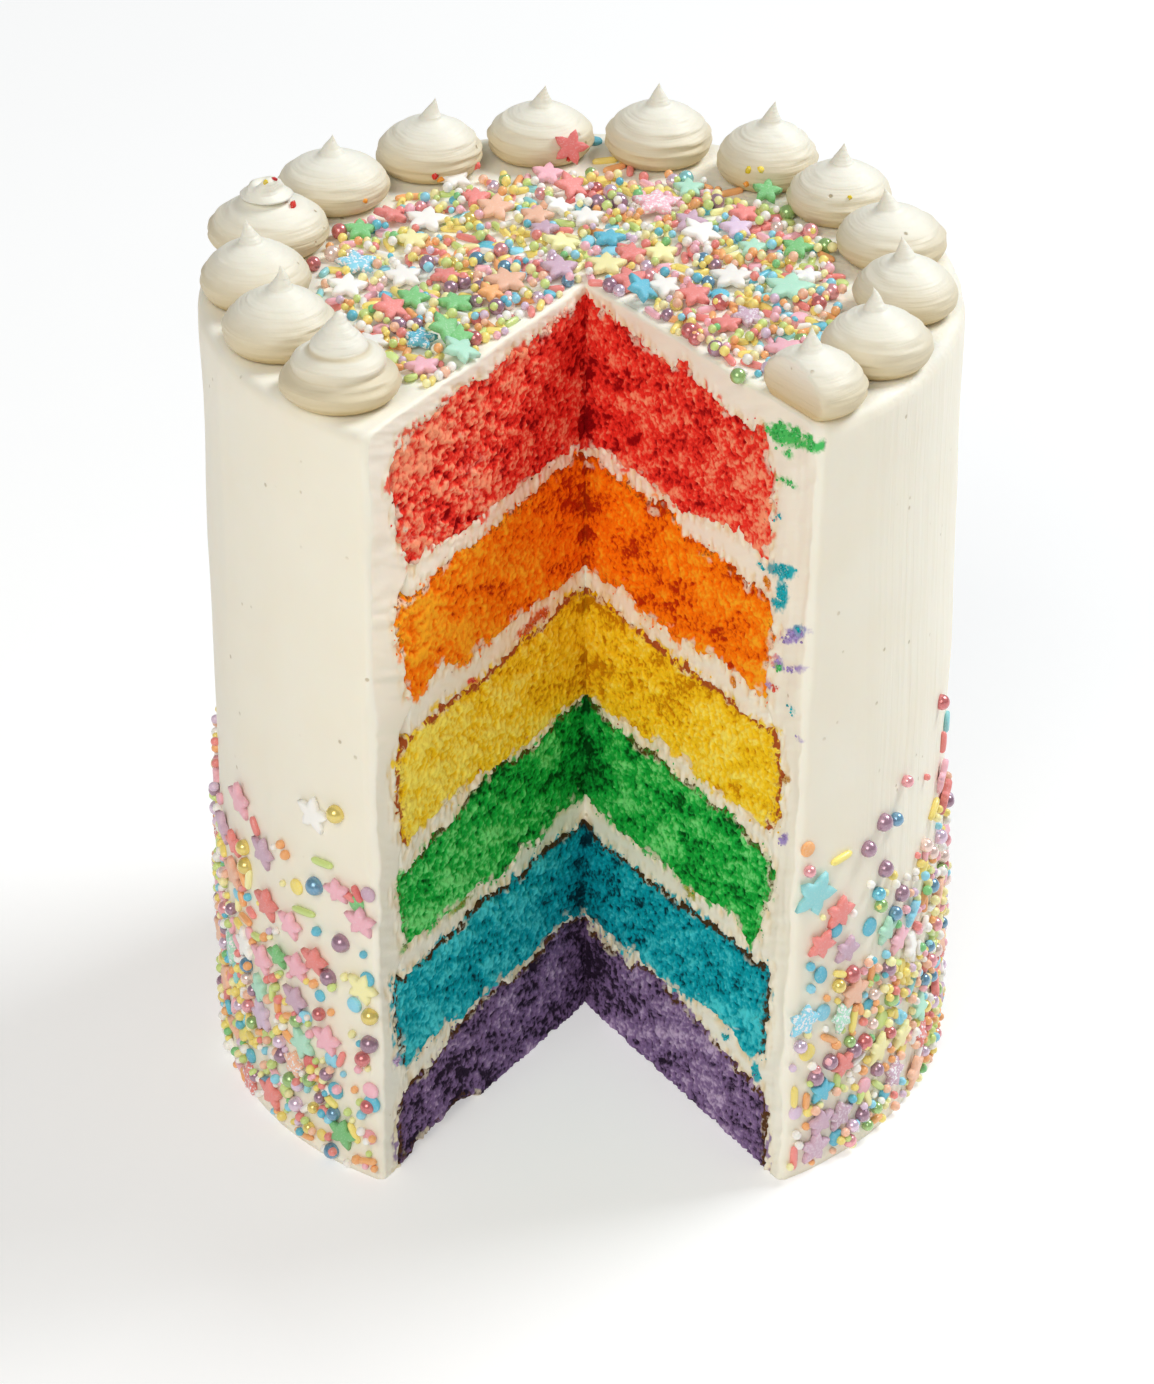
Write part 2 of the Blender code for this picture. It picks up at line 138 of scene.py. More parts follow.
def waves(x: Array, y: Array, size: float, seed: int, octaves: int = 1, around: float = 0.0) -> Array:
    """Smooth noise: lattice numbers blended by a quintic, each octave half as large and high.

    Args:
        x, y: The places.
        size: Distance between the lattice points of the first octave.
        seed: Picks the pattern.
        octaves: How many layers of detail are added up.
        around: Length after which the pattern repeats in x, or 0 for none.

    Returns:
        Values from about -1 to 1, shaped like x and y together.
    """
    total, weight, sum_of_weights = 0.0, 1.0, 0.0
    for octave in range(octaves):
        cell = size / 2**octave
        count = max(1, round(around / cell)) if around else 0
        across = x * count / around if count else x / cell
        up = y / cell
        column, row = np.floor(across), np.floor(up)
        part_x, part_y = across - column, up - row
        blend_x = part_x**3 * (part_x * (part_x * 6 - 15) + 10)
        blend_y = part_y**3 * (part_y * (part_y * 6 - 15) + 10)

        def corner(step_x: int, step_y: int) -> Array:
            """The lattice number at one corner of the cell."""
            at = column + step_x
            return lattice(np.mod(at, count) if count else at, row + step_y, seed + 31 * octave)

        low = corner(0, 0) * (1 - blend_x) + corner(1, 0) * blend_x
        high = corner(0, 1) * (1 - blend_x) + corner(1, 1) * blend_x
        total = total + weight * (2 * (low * (1 - blend_y) + high * blend_y) - 1)
        sum_of_weights += weight
        weight *= 0.5
    return total / sum_of_weights * 1.35


def clumps(x: Array, y: Array, size: float, seed: int) -> Pair:
    """Distance to the nearest of one scattered point per cell, and that point's number.

    Args:
        x, y: The places.
        size: Width of a cell.
        seed: Picks the pattern.

    Returns:
        The distance, 0 at a point and about 0.9 far from all, and a number from 0 to 1.
    """
    across, up = x / size, y / size
    column, row = np.floor(across), np.floor(up)
    nearest = np.full(np.broadcast(across, up).shape, 9.0)
    number = np.zeros_like(nearest)
    for step_x in (-1, 0, 1):
        for step_y in (-1, 0, 1):
            at_x, at_y = column + step_x, row + step_y
            point_x = at_x + lattice(at_x, at_y, seed)
            point_y = at_y + lattice(at_x, at_y, seed + 1)
            far = np.hypot(across - point_x, up - point_y)
            closer = far < nearest
            number = np.where(closer, lattice(at_x, at_y, seed + 2), number)
            nearest = np.where(closer, far, nearest)
    return nearest, number


def torn(t: Array, z: Array) -> Pair:
    """Places on the cut along and across the tears, which rise outwards by 24 degrees.

    The right face has its own part of the pattern, so the two faces do not mirror.

    Args:
        t: Distance from the cut's tip, negative on the left face.
        z: Height.

    Returns:
        The place along the tears, shrunk so that a pattern on it is drawn out, and across.
    """
    out = np.abs(t)
    slope, drawn_out, right_part = math.radians(24.0), 1.7, 300.0
    along = out * math.cos(slope) + z * math.sin(slope) + right_part * (t > 0)
    return along / drawn_out, z * math.cos(slope) - out * math.sin(slope)


def soft_least(*values: Array, width: float = 0.7) -> Array:
    """The least of several values, with the corners between them rounded.

    Args:
        values: The values, each an array.
        width: How wide a corner is rounded.

    Returns:
        least - width * log(sum of exp((least - value) / width)).
    """
    stacked = np.stack(np.broadcast_arrays(*values))
    least = stacked.min(axis=0)
    return least - width * np.log(np.exp(-(stacked - least) / width).sum(axis=0))


# ---- mesh making

COLOUR_VALUES = ("tint", "stain")


def cells(numbers: Array) -> Array:
    """Two triangles for each cell of a grid of point numbers."""
    a, b, c, d = numbers[:-1, :-1], numbers[:-1, 1:], numbers[1:, 1:], numbers[1:, :-1]
    return np.concatenate([np.stack(corners, -1).reshape(-1, 3) for corners in ((a, b, c), (a, c, d))])


@dataclass
class Skin:
    """Gathers the points, triangles and point values of one closed piece."""

    name: str
    points: list[Array] = field(default_factory=list)
    triangles: list[Array] = field(default_factory=list)
    values: dict[str, list[Array]] = field(default_factory=dict)
    count: int = 0

    def add(self, points: Array, **values: Array) -> Array:
        """Adds points, with a value for each under a name.

        Args:
            points: Points of any shape (..., 3).
            values: Numbers or colours for them. One that is left out is 0.

        Returns:
            The points' numbers, shaped as the points are.
        """
        shape = points.shape[:-1]
        size = int(np.prod(shape))
        for name in {**self.values, **values}:
            given = values.get(name)
            width = 4 if name in COLOUR_VALUES else 1
            flat = np.zeros((size, width))
            if given is not None:
                given = given if width == 4 else given[..., None]
                flat = np.broadcast_to(given, (*shape, width)).reshape(size, width)
            if name not in self.values:
                self.values[name] = [np.zeros((self.count, width))] if self.count else []
            self.values[name].append(flat)
        numbers = np.arange(self.count, self.count + size).reshape(shape)
        self.points.append(points.reshape(size, 3))
        self.count += size
        return numbers

    def grid(self, numbers: Array) -> None:
        """Adds the triangles of a grid of point numbers."""
        self.triangles.append(cells(numbers))

    def strip(self, first: Array, second: Array) -> None:
        """Adds triangles between two rows of two or more points, both taken end to end.

        Args:
            first, second: The numbers of each row.
        """
        middle_a, middle_b = ((np.arange(len(row) - 1) + 0.5) / (len(row) - 1) for row in (first, second))
        to_b = np.searchsorted(middle_b, middle_a)
        to_a = np.searchsorted(middle_a, middle_b, side="right")
        self.triangles.append(np.stack([first[:-1], first[1:], second[to_b]], -1))
        self.triangles.append(np.stack([second[1:], second[:-1], first[to_a]], -1))

    def copies(self, points: Array, triangles: Array, colours: Array) -> None:
        """Adds copies of one small shape, each with its points and a colour with glitter."""
        numbers = self.add(points, tint=np.repeat(colours[:, None, :], points.shape[1], axis=1))
        self.triangles.append((triangles[None] + numbers[:, :1, None]).reshape(-1, 3))

    def finish(self, material: Material) -> Object:
        """Makes the object: doubles merged, faces outward, smooth.

        Args:
            material: Its only material.

        Returns:
            The object, in the scene.
        """
        mesh = bpy.data.meshes.new(self.name)
        points = np.concatenate(self.points) * MM
        triangles = np.concatenate(self.triangles)
        mesh.from_pydata(points, [], triangles)
        for name, parts in self.values.items():
            kind, field_name = ("FLOAT_COLOR", "color") if name in COLOUR_VALUES else ("FLOAT", "value")
            layer = mesh.attributes.new(name, kind, "POINT")
            layer.data.foreach_set(field_name, np.concatenate(parts).astype(np.float32).ravel())
        shape = bmesh.new()
        shape.from_mesh(mesh)
        bmesh.ops.remove_doubles(shape, verts=shape.verts, dist=MERGE_DISTANCE)
        bmesh.ops.recalc_face_normals(shape, faces=shape.faces)
        if shape.calc_volume(signed=True) < 0:
            bmesh.ops.reverse_faces(shape, faces=shape.faces)
        shape.to_mesh(mesh)
        shape.free()
        return dress(self.name, mesh, material)


def dress(name: str, mesh: Mesh, material: Material) -> Object:
    """Puts a finished mesh in the scene.

    Args:
        name: The object's name.
        mesh: The mesh, which is shaded smooth.
        material: Its only material.

    Returns:
        The object, at the origin.
    """
    mesh.shade_smooth()
    mesh.materials.append(material)
    made = bpy.data.objects.new(name, mesh)
    bpy.context.scene.collection.objects.link(made)
    return made


def settle(piece: Object, slot: str = "", *nodes: str) -> Object:
    """Makes a piece ride on the cake and reports it.

    Args:
        piece: The piece.
        slot: Not used.
        nodes: The CAD nodes that it stands for.

    Returns:
        The piece.
    """
    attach(piece, "root")
    if nodes:
        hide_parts(*nodes)
    LOG.info("%s: %d triangles", piece.name, len(piece.data.polygons))
    return piece


# ---- finishes

Feed = NodeSocket | Colour | float


class Wires:
    """A node tree with short ways to add and join nodes."""

    def __init__(self, tree: NodeTree) -> None:
        """Keeps the tree."""
        self.tree = tree

    def node(self, kind: str, settings: dict | None = None, **inputs: Feed) -> Node:
        """Adds a node.

        Args:
            kind: The node's type.
            settings: Properties set on the node.
            inputs: Values or sockets, by input name with _ for a space. i0, i1 are places.

        Returns:
            The node.
        """
        made = self.tree.nodes.new(kind)
        for name, value in (settings or {}).items():
            setattr(made, name, value)
        for name, value in inputs.items():
            key = int(name[1:]) if name[0] == "i" and name[1:].isdigit() else name.replace("_", " ")
            socket = made.inputs[key]
            if isinstance(value, NodeSocket):
                self.join(value, socket)
            else:
                socket.default_value = value
        return made

    def times(self, first: Feed, second: Feed, plus: Feed | None = None) -> NodeSocket:
        """first x second, and plus a third where one is given."""
        kind, third = ("MULTIPLY", 0.0) if plus is None else ("MULTIPLY_ADD", plus)
        return self.node("ShaderNodeMath", {"operation": kind}, i0=first, i1=second, i2=third).outputs[0]

    def centred(self, value: Feed) -> NodeSocket:
        """A value less 0.5."""
        return self.node("ShaderNodeMath", {"operation": "SUBTRACT"}, i0=value, i1=0.5).outputs[0]

    def step(self, value: Feed, low: float, high: float) -> NodeSocket:
        """A smooth step of a value, 0 at low and 1 at high."""
        smooth, ends = {"interpolation_type": "SMOOTHSTEP"}, {"From_Min": low, "From_Max": high}
        return self.node("ShaderNodeMapRange", smooth, Value=value, **ends).outputs["Result"]

    def blend(self, share: Feed, first: Feed, second: Feed) -> NodeSocket:
        """A mix of two colours."""
        made = self.node("ShaderNodeMix", {"data_type": "RGBA"}, i0=share, i6=first, i7=second)
        return made.outputs[2]

    def noise(self, scale: float, detail: float = 2.0, stretch: Point | None = None) -> NodeSocket:
        """Noise on the object's own coordinates.

        Args:
            scale: Cells per metre.
            detail: Octaves on top of the first.
            stretch: Factors on x, y and z, where the cells aren't round.

        Returns:
            The noise, from 0 to 1.
        """
        at = self.place()
        if stretch:
            at = self.node("ShaderNodeMapping", Vector=at, Scale=stretch).outputs[0]
        return self.node("ShaderNodeTexNoise", Vector=at, Scale=scale, Detail=detail).outputs["Fac"]

    def place(self) -> NodeSocket:
        """The place in the object's own coordinates."""
        return self.node("ShaderNodeTexCoord").outputs["Object"]

    def join(self, source: NodeSocket, target: NodeSocket) -> None:
        """Links two sockets."""
        self.tree.links.new(source, target)

    def value(self, name: str) -> NodeSocket:
        """A value that the mesh carries at each point."""
        return self.node("ShaderNodeAttribute", {"attribute_name": name}).outputs["Fac"]

    def tint(self, name: str) -> tuple[NodeSocket, NodeSocket]:
        """A colour that the mesh carries at each point, and its alpha."""
        carried = self.node("ShaderNodeAttribute", {"attribute_name": name}).outputs
        return carried["Color"], carried["Alpha"]


def group(name: str, inputs: dict[str, Colour | float], outputs: dict[str, str]) -> tuple[Wires, dict, dict]:
    """Starts a shader node group.

    Args:
        name: The group's name.
        inputs: Default values by name. A colour has three numbers.
        outputs: Socket kinds by name.

    Returns:
        The group's wires, what it is given and what it puts out, both by name.
    """
    tree = bpy.data.node_groups.new(name, "ShaderNodeTree")
    for label, value in inputs.items():
        is_colour = isinstance(value, tuple)
        socket = tree.interface.new_socket(
            label, in_out="INPUT", socket_type="NodeSocketColor" if is_colour else "NodeSocketFloat"
        )
        socket.default_value = (*value, 1.0) if is_colour else value
    for label, kind in outputs.items():
        tree.interface.new_socket(label, in_out="OUTPUT", socket_type=kind)
    wires = Wires(tree)
    return wires, wires.node("NodeGroupInput").outputs, wires.node("NodeGroupOutput").inputs


COLOUR, NUMBER = "NodeSocketColor", "NodeSocketFloat"
COAT_ROUGHNESS = 0.12
CREAM_SMEAR, PIT_SHADE = (0.83, 0.72, 0.55, 1.0), (0.42, 0.33, 0.19, 1.0)
SUGAR_DUST, SUGAR_CRYSTAL = (0.95, 0.93, 0.9, 1.0), (0.97, 0.95, 0.97, 1.0)


def crumb_group() -> NodeTree:
    """Sponge: painted shade in the pores, coloured crumb, painted highlight on the tips, brown crust and
    smears of cream.

    Returns:
        The group.
    """
    grey = {"Pore": (0.1,) * 3, "Crumb": (0.5,) * 3, "Tip": (0.9,) * 3, "Crust": (0.1, 0.05, 0.02)}
    wires, given, out = group("crumb", grey, {"Colour": COLOUR, "Height": NUMBER})
    fine, coarse = wires.noise(1300.0, 3.0), wires.noise(330.0, 2.0)
    # The relief value is painted light and shade: it runs from the colour of the pores, painted shade, to
    # that of the tips, painted highlight.
    depth = wires.times(wires.centred(fine), 0.75, wires.value("relief"))
    depth = wires.times(wires.centred(coarse), 0.5, depth)
    colour = wires.blend(wires.step(depth, 0.12, 0.52), given["Pore"], given["Crumb"])
    colour = wires.blend(wires.step(depth, 0.5, 1.0), colour, given["Tip"])
    cream = wires.step(wires.times(fine, 0.5, wires.value("smear")), 0.45, 0.95)
    colour = wires.blend(wires.times(cream, 0.75), colour, CREAM_SMEAR)
    crust = wires.step(wires.times(fine, 1.5, wires.value("crust")), 1.0, 1.6)
    wires.join(wires.blend(crust, colour, given["Crust"]), out["Colour"])
    wires.join(wires.times(fine, 0.6, wires.times(coarse, 0.4)), out["Height"])
    return wires.tree


def cream_group() -> NodeTree:
    """Buttercream: a warm tint in random patches and, as painted warm shade, by the fold value; small pits,
    fine lines, streaks, stains of crumb.

    Returns:
        The group.
    """
    plain = {"Light": (0.9, 0.85, 0.72), "Warm": (0.85, 0.7, 0.4), "Lines": 0.0, "Pits": 1.0}
    wires, given, out = group("buttercream", plain, {"Colour": COLOUR, "Roughness": NUMBER, "Height": NUMBER})
    patches = wires.noise(55.0, 2.0)
    # The fold value paints warm shade: low on the dollops and in their grooves, between the knife strokes,
    # near the sponges and on the coat's side. It paints the coat's top paler, as painted light.
    share = wires.times(patches, 0.22, wires.times(wires.value("fold"), 0.9))
    colour = wires.blend(share, given["Light"], given["Warm"])
    cells = wires.node("ShaderNodeTexVoronoi", Vector=wires.place(), Scale=210.0)
    pit = wires.step(cells.outputs["Distance"], 0.13, 0.06)
    few = wires.step(wires.noise(95.0, 1.0), 0.56, 0.66)
    pit = wires.times(wires.times(pit, few), given["Pits"])
    colour = wires.blend(wires.times(pit, 0.6), colour, PIT_SHADE)
    stain, strength = wires.tint("stain")
    ragged = wires.step(wires.times(wires.noise(1100.0, 3.0), 0.9, strength), 0.6, 1.3)
    ragged = wires.times(ragged, wires.step(strength, 0.02, 0.12))
    lines = wires.noise(1.0, 1.0, (70.0, 70.0, 1500.0))
    soft = wires.noise(420.0, 3.0)
    height = wires.times(wires.centred(lines), given["Lines"], soft)
    height = wires.times(pit, -3.0, height)
    streaks = wires.centred(wires.noise(1.0, 2.0, (650.0, 650.0, 22.0)))
    height = wires.times(wires.times(streaks, 5.0), wires.value("comb"), height)
    wires.join(wires.blend(ragged, colour, stain), out["Colour"])
    wires.join(wires.times(soft, 0.25, 0.38), out["Roughness"])
    wires.join(height, out["Height"])
    return wires.tree


def sugar_group() -> NodeTree:
    """Sprinkles: the tint of each one, with pale dust on its grain and sugar crystals.

    Returns:
        The group.
    """
    wires, given, out = group("sugar", {"Speckle": 0.1}, {"Colour": COLOUR, "Height": NUMBER})
    tint, crystals = wires.tint("tint")
    grain = wires.noise(2300.0, 2.0)
    dust = wires.times(wires.step(grain, 0.5, 0.75), given["Speckle"])
    glitter = wires.times(wires.step(wires.noise(1500.0, 1.0), 0.52, 0.6), crystals)
    colour = wires.blend(glitter, wires.blend(dust, tint, SUGAR_DUST), SUGAR_CRYSTAL)
    wires.join(colour, out["Colour"])
    wires.join(grain, out["Height"])
    return wires.tree


@dataclass(frozen=True)
class Finish:
    """A Principled finish fed by one of the groups.

    depth is the subsurface scale and relief the bump's, both in millimetres. warmth is
    how far each colour travels under the surface, as shares of depth.
    """

    name: str
    roughness: float = 0.6
    subsurface: float = 0.0
    depth: float = 1.0
    bump: float = 0.3
    relief: float = 0.3
    specular: float = 0.4
    coat: float = 0.0
    metallic: float = 0.0
    warmth: Colour = (1.0, 0.7, 0.45)
    inputs: tuple[tuple[str, Colour | float], ...] = ()

    def make(self, tree: NodeTree) -> Material:
        """The material: the group feeds colour, bump and, where it has one, roughness.

        Args:
            tree: The node group that this finish uses.

        Returns:
            The material.
        """
        made = bpy.data.materials.new(self.name)
        made.use_nodes = True
        wires = Wires(made.node_tree)
        shader = made.node_tree.nodes["Principled BSDF"]
        for label, value in (
            ("Roughness", self.roughness),
            ("Metallic", self.metallic),
            ("Subsurface Weight", self.subsurface),
            ("Subsurface Scale", self.depth * MM),
            ("Subsurface Radius", self.warmth),
            ("Specular IOR Level", self.specular),
            ("Coat Weight", self.coat),
            ("Coat Roughness", COAT_ROUGHNESS),
        ):
            shader.inputs[label].default_value = value
        surface = wires.node("ShaderNodeGroup", {"node_tree": tree})
        for label, value in self.inputs:
            surface.inputs[label].default_value = (*value, 1.0) if isinstance(value, tuple) else value
        out = surface.outputs
        wires.join(out["Colour"], shader.inputs["Base Color"])
        if "Roughness" in out:
            wires.join(out["Roughness"], shader.inputs["Roughness"])
        deep = self.relief * MM
        bump = wires.node("ShaderNodeBump", Height=out["Height"], Strength=self.bump, Distance=deep)
        wires.join(bump.outputs["Normal"], shader.inputs["Normal"])
        return made


# ---- the layers


@dataclass(frozen=True)
class Cut:
    """The two faces that the missing slice leaves, as one sheet folded along its tip.

    A place on the sheet is (t, z). t is the distance from the tip, negative on the left
    face, and z is the height. The right face is twisted, so that its foot stands nearer
    to the left one than its top.
    """

    tip: tuple[float, float] = (0.9, -5.21)
    half: float = math.radians(33.75)
    twist: float = math.radians(4.15)
    fold: float = 3.5

    def turned(self, side: Array | float, z: Array | float) -> Array:
        """Angle from the cut's middle to a face: half, less twist (1 - z / 185) at the right."""
        return self.half - self.twist * (np.asarray(side) > 0) * (1 - np.clip(z / ICING_HEIGHT, 0.0, 1.0))

    def place(self, t: Array, z: Array, out: Array) -> Array:
        """Points of the sheet: tip + |t| along the face + out along its normal.

        The normal turns smoothly from one face's to the other's within the fold.

        Args:
            t, z: The places.
            out: Distance off the face.

        Returns:
            The points (..., 3).
        """
        angle, other = self.turned(t, z), self.turned(1.0, z)
        turn = ease(-self.fold, self.fold, t)
        normal_x = math.cos(self.half) * (1 - turn) - np.cos(other) * turn
        normal_y = -math.sin(self.half) * (1 - turn) - np.sin(other) * turn
        length = np.hypot(normal_x, normal_y)
        x = self.tip[0] + t * np.sin(angle) + out * normal_x / length
        y = self.tip[1] - np.abs(t) * np.cos(angle) + out * normal_y / length
        return np.stack(np.broadcast_arrays(x, y, z), -1)

    def reach(self, angle: Array, radius: float | Array, centre_x: float = 0.0) -> Array:
        """How far a circle is from the tip in a direction: the root of |tip + r u - c| = R.

        Args:
            angle: The direction.
            radius, centre_x: The circle's radius, and the x of its centre.

        Returns:
            The distance, shaped like the angle.
        """
        off_x, off_y = self.tip[0] - centre_x, self.tip[1] - AXIS_Y
        along = off_x * np.cos(angle) + off_y * np.sin(angle)
        return -along + np.sqrt(along**2 - off_x**2 - off_y**2 + radius**2)

    def polar(self, angle: Array, distance: Array, z: Array) -> Array:
        """Points at a distance from the tip in a direction, at a height."""
        x, y = self.tip[0] + distance * np.cos(angle), self.tip[1] + distance * np.sin(angle)
        return np.stack(np.broadcast_arrays(x, y, z), -1)

    def clear(self, points: Array, gap: float) -> Array:
        """Moves points that lie nearer than gap to the cut faces straight away from them.

        Args:
            points: Points (..., 3).
            gap: The distance that they keep.

        Returns:
            The moved points.
        """
        off = points[..., :2] - np.array(self.tip)
        side = np.where(off[..., 0] < 0, -1.0, 1.0)
        angle = self.turned(side, points[..., 2])
        face = np.stack([side * np.sin(angle), -np.cos(angle)], -1)
        along = np.maximum((off * face).sum(-1), 0.0)[..., None] * face
        away = off - along
        distance = np.linalg.norm(away, axis=-1, keepdims=True)
        least = 1e-5
        away = np.where(distance < least, np.array([0.0, least]), away)
        away = away * np.maximum(gap / np.maximum(distance, least), 1.0)
        return np.concatenate([np.array(self.tip) + along + away, points[..., 2:]], -1)

    def direction(self, share: Array, z: Array | float, inset: float = 0.0) -> Array:
        """Directions from the left face round the back to the right one.

        Args:
            share: 0 at the left face and 1 at the right one.
            z: Height, as the right face is twisted.
            inset: How far the first and the last keep off the faces.

        Returns:
            Angles from +X.
        """
        left = 1.5 * math.pi - self.half - inset
        right = self.turned(1.0, z) - 0.5 * math.pi + inset
        return left * (1 - share) + right * share


CUT = Cut()


@dataclass(frozen=True)
class Sponge:
    """One sponge: its disc, and the ragged patch that it shows on the two cut faces.

    top and bottom give z for t, and left and right give the outer edge's distance from
    the tip for z. crust is how brown the top, the edge and the bottom are, and coarse how
    lumpy the crumb is at the outer left and everywhere else. pore and tip are the colours of
    painted shade in the crumb's pits and of painted highlight on its peaks. shadow paints
    shade on the crumb near the tip, pale streaks the outer left with cream, and gain paints
    light on the left face, or shade where it is negative. hollows are spots painted dark, as
    shade, each with its t, z and radius.
    """

    name: str
    base: float
    thickness: float
    radius: float
    shift: float
    seed: int
    top: Line
    bottom: Line
    left: Line
    right: Line
    crust: tuple[float, float, float]
    coarse: tuple[float, float]
    pore_shade: Colour
    crumb: Colour
    tip: Colour
    burnt: Colour = tone(84, 50, 22)
    shadow: float = 0.0
    pale: float = 0.0
    gain: float = 0.1
    shaded_hollows: tuple[tuple[float, float, float], ...] = ()
    deepest: float = -1.25

    def top_at(self, t: Array) -> Array:
        """The height of the upper edge."""
        return np.interp(t, *zip(*self.top))

    def bottom_at(self, t: Array) -> Array:
        """The height of the lower edge."""
        return np.interp(t, *zip(*self.bottom))

    def edge_at(self, t: Array, z: Array) -> Array:
        """How far the patch reaches from the tip on the face that t is on."""
        return np.where(t < 0, np.interp(z, *zip(*self.left)), np.interp(z, *zip(*self.right)))

    def ragged(self, t: Array, z: Array) -> Array:
        """How far the edge wanders in and out: slow waves, upright teeth and fine nicks."""
        wander = 0.65 * waves(t, z, 5.0, self.seed) + 0.7 * waves(t, 0.45 * z, 1.35, self.seed + 1, 2)
        return wander + 0.25 * waves(*torn(t, z), 0.75, self.seed + 2)

    def inside(self, t: Array, z: Array) -> Array:
        """Distance inside the ragged patch, negative outside it."""
        borders = self.top_at(t) - z, z - self.bottom_at(t), self.edge_at(t, z) - np.abs(t)
        return soft_least(*borders) + self.ragged(t, z)

    def relief(self, t: Array, z: Array) -> Array:
        """Torn crumb: fibres drawn out along the tears, with grain on them and pits between.

        Args:
            t, z: The places.

        Returns:
            Height off the face.
        """
        along, across = torn(t, z)
        coarse = self.coarse[0] + (self.coarse[1] - self.coarse[0]) * ease(-40.0, -18.0, t)
        bend = 0.5 * waves(along, across, 3.0, self.seed + 3, 2)
        broad = waves(0.7 * along, across + bend, 3.0, self.seed + 4, 2)
        fibre = 0.3 - np.abs(waves(along, across + bend, 1.5, self.seed + 5, 2))
        grain = waves(1.5 * along, across - bend, 0.8, self.seed + 6, 2)
        lumps, pick = clumps(1.5 * along, across, 1.9, self.seed + 10)
        pits = ease(0.4, 0.1, lumps) * (pick > 0.8)
        round_crumb = np.maximum(coarse - 0.8, 0.0) * (0.9 * (0.45 - lumps) + 0.7 * (pick - 0.5))
        drawn = 0.28 * broad + 0.55 * fibre - 0.4 * pits
        height = np.minimum(coarse, 0.9) * drawn + 0.3 * grain + round_crumb
        return np.maximum(height, self.deepest)

    @property
    def node(self) -> str:
        """The CAD node that this sponge stands for."""
        return f"sponge_{self.name}"


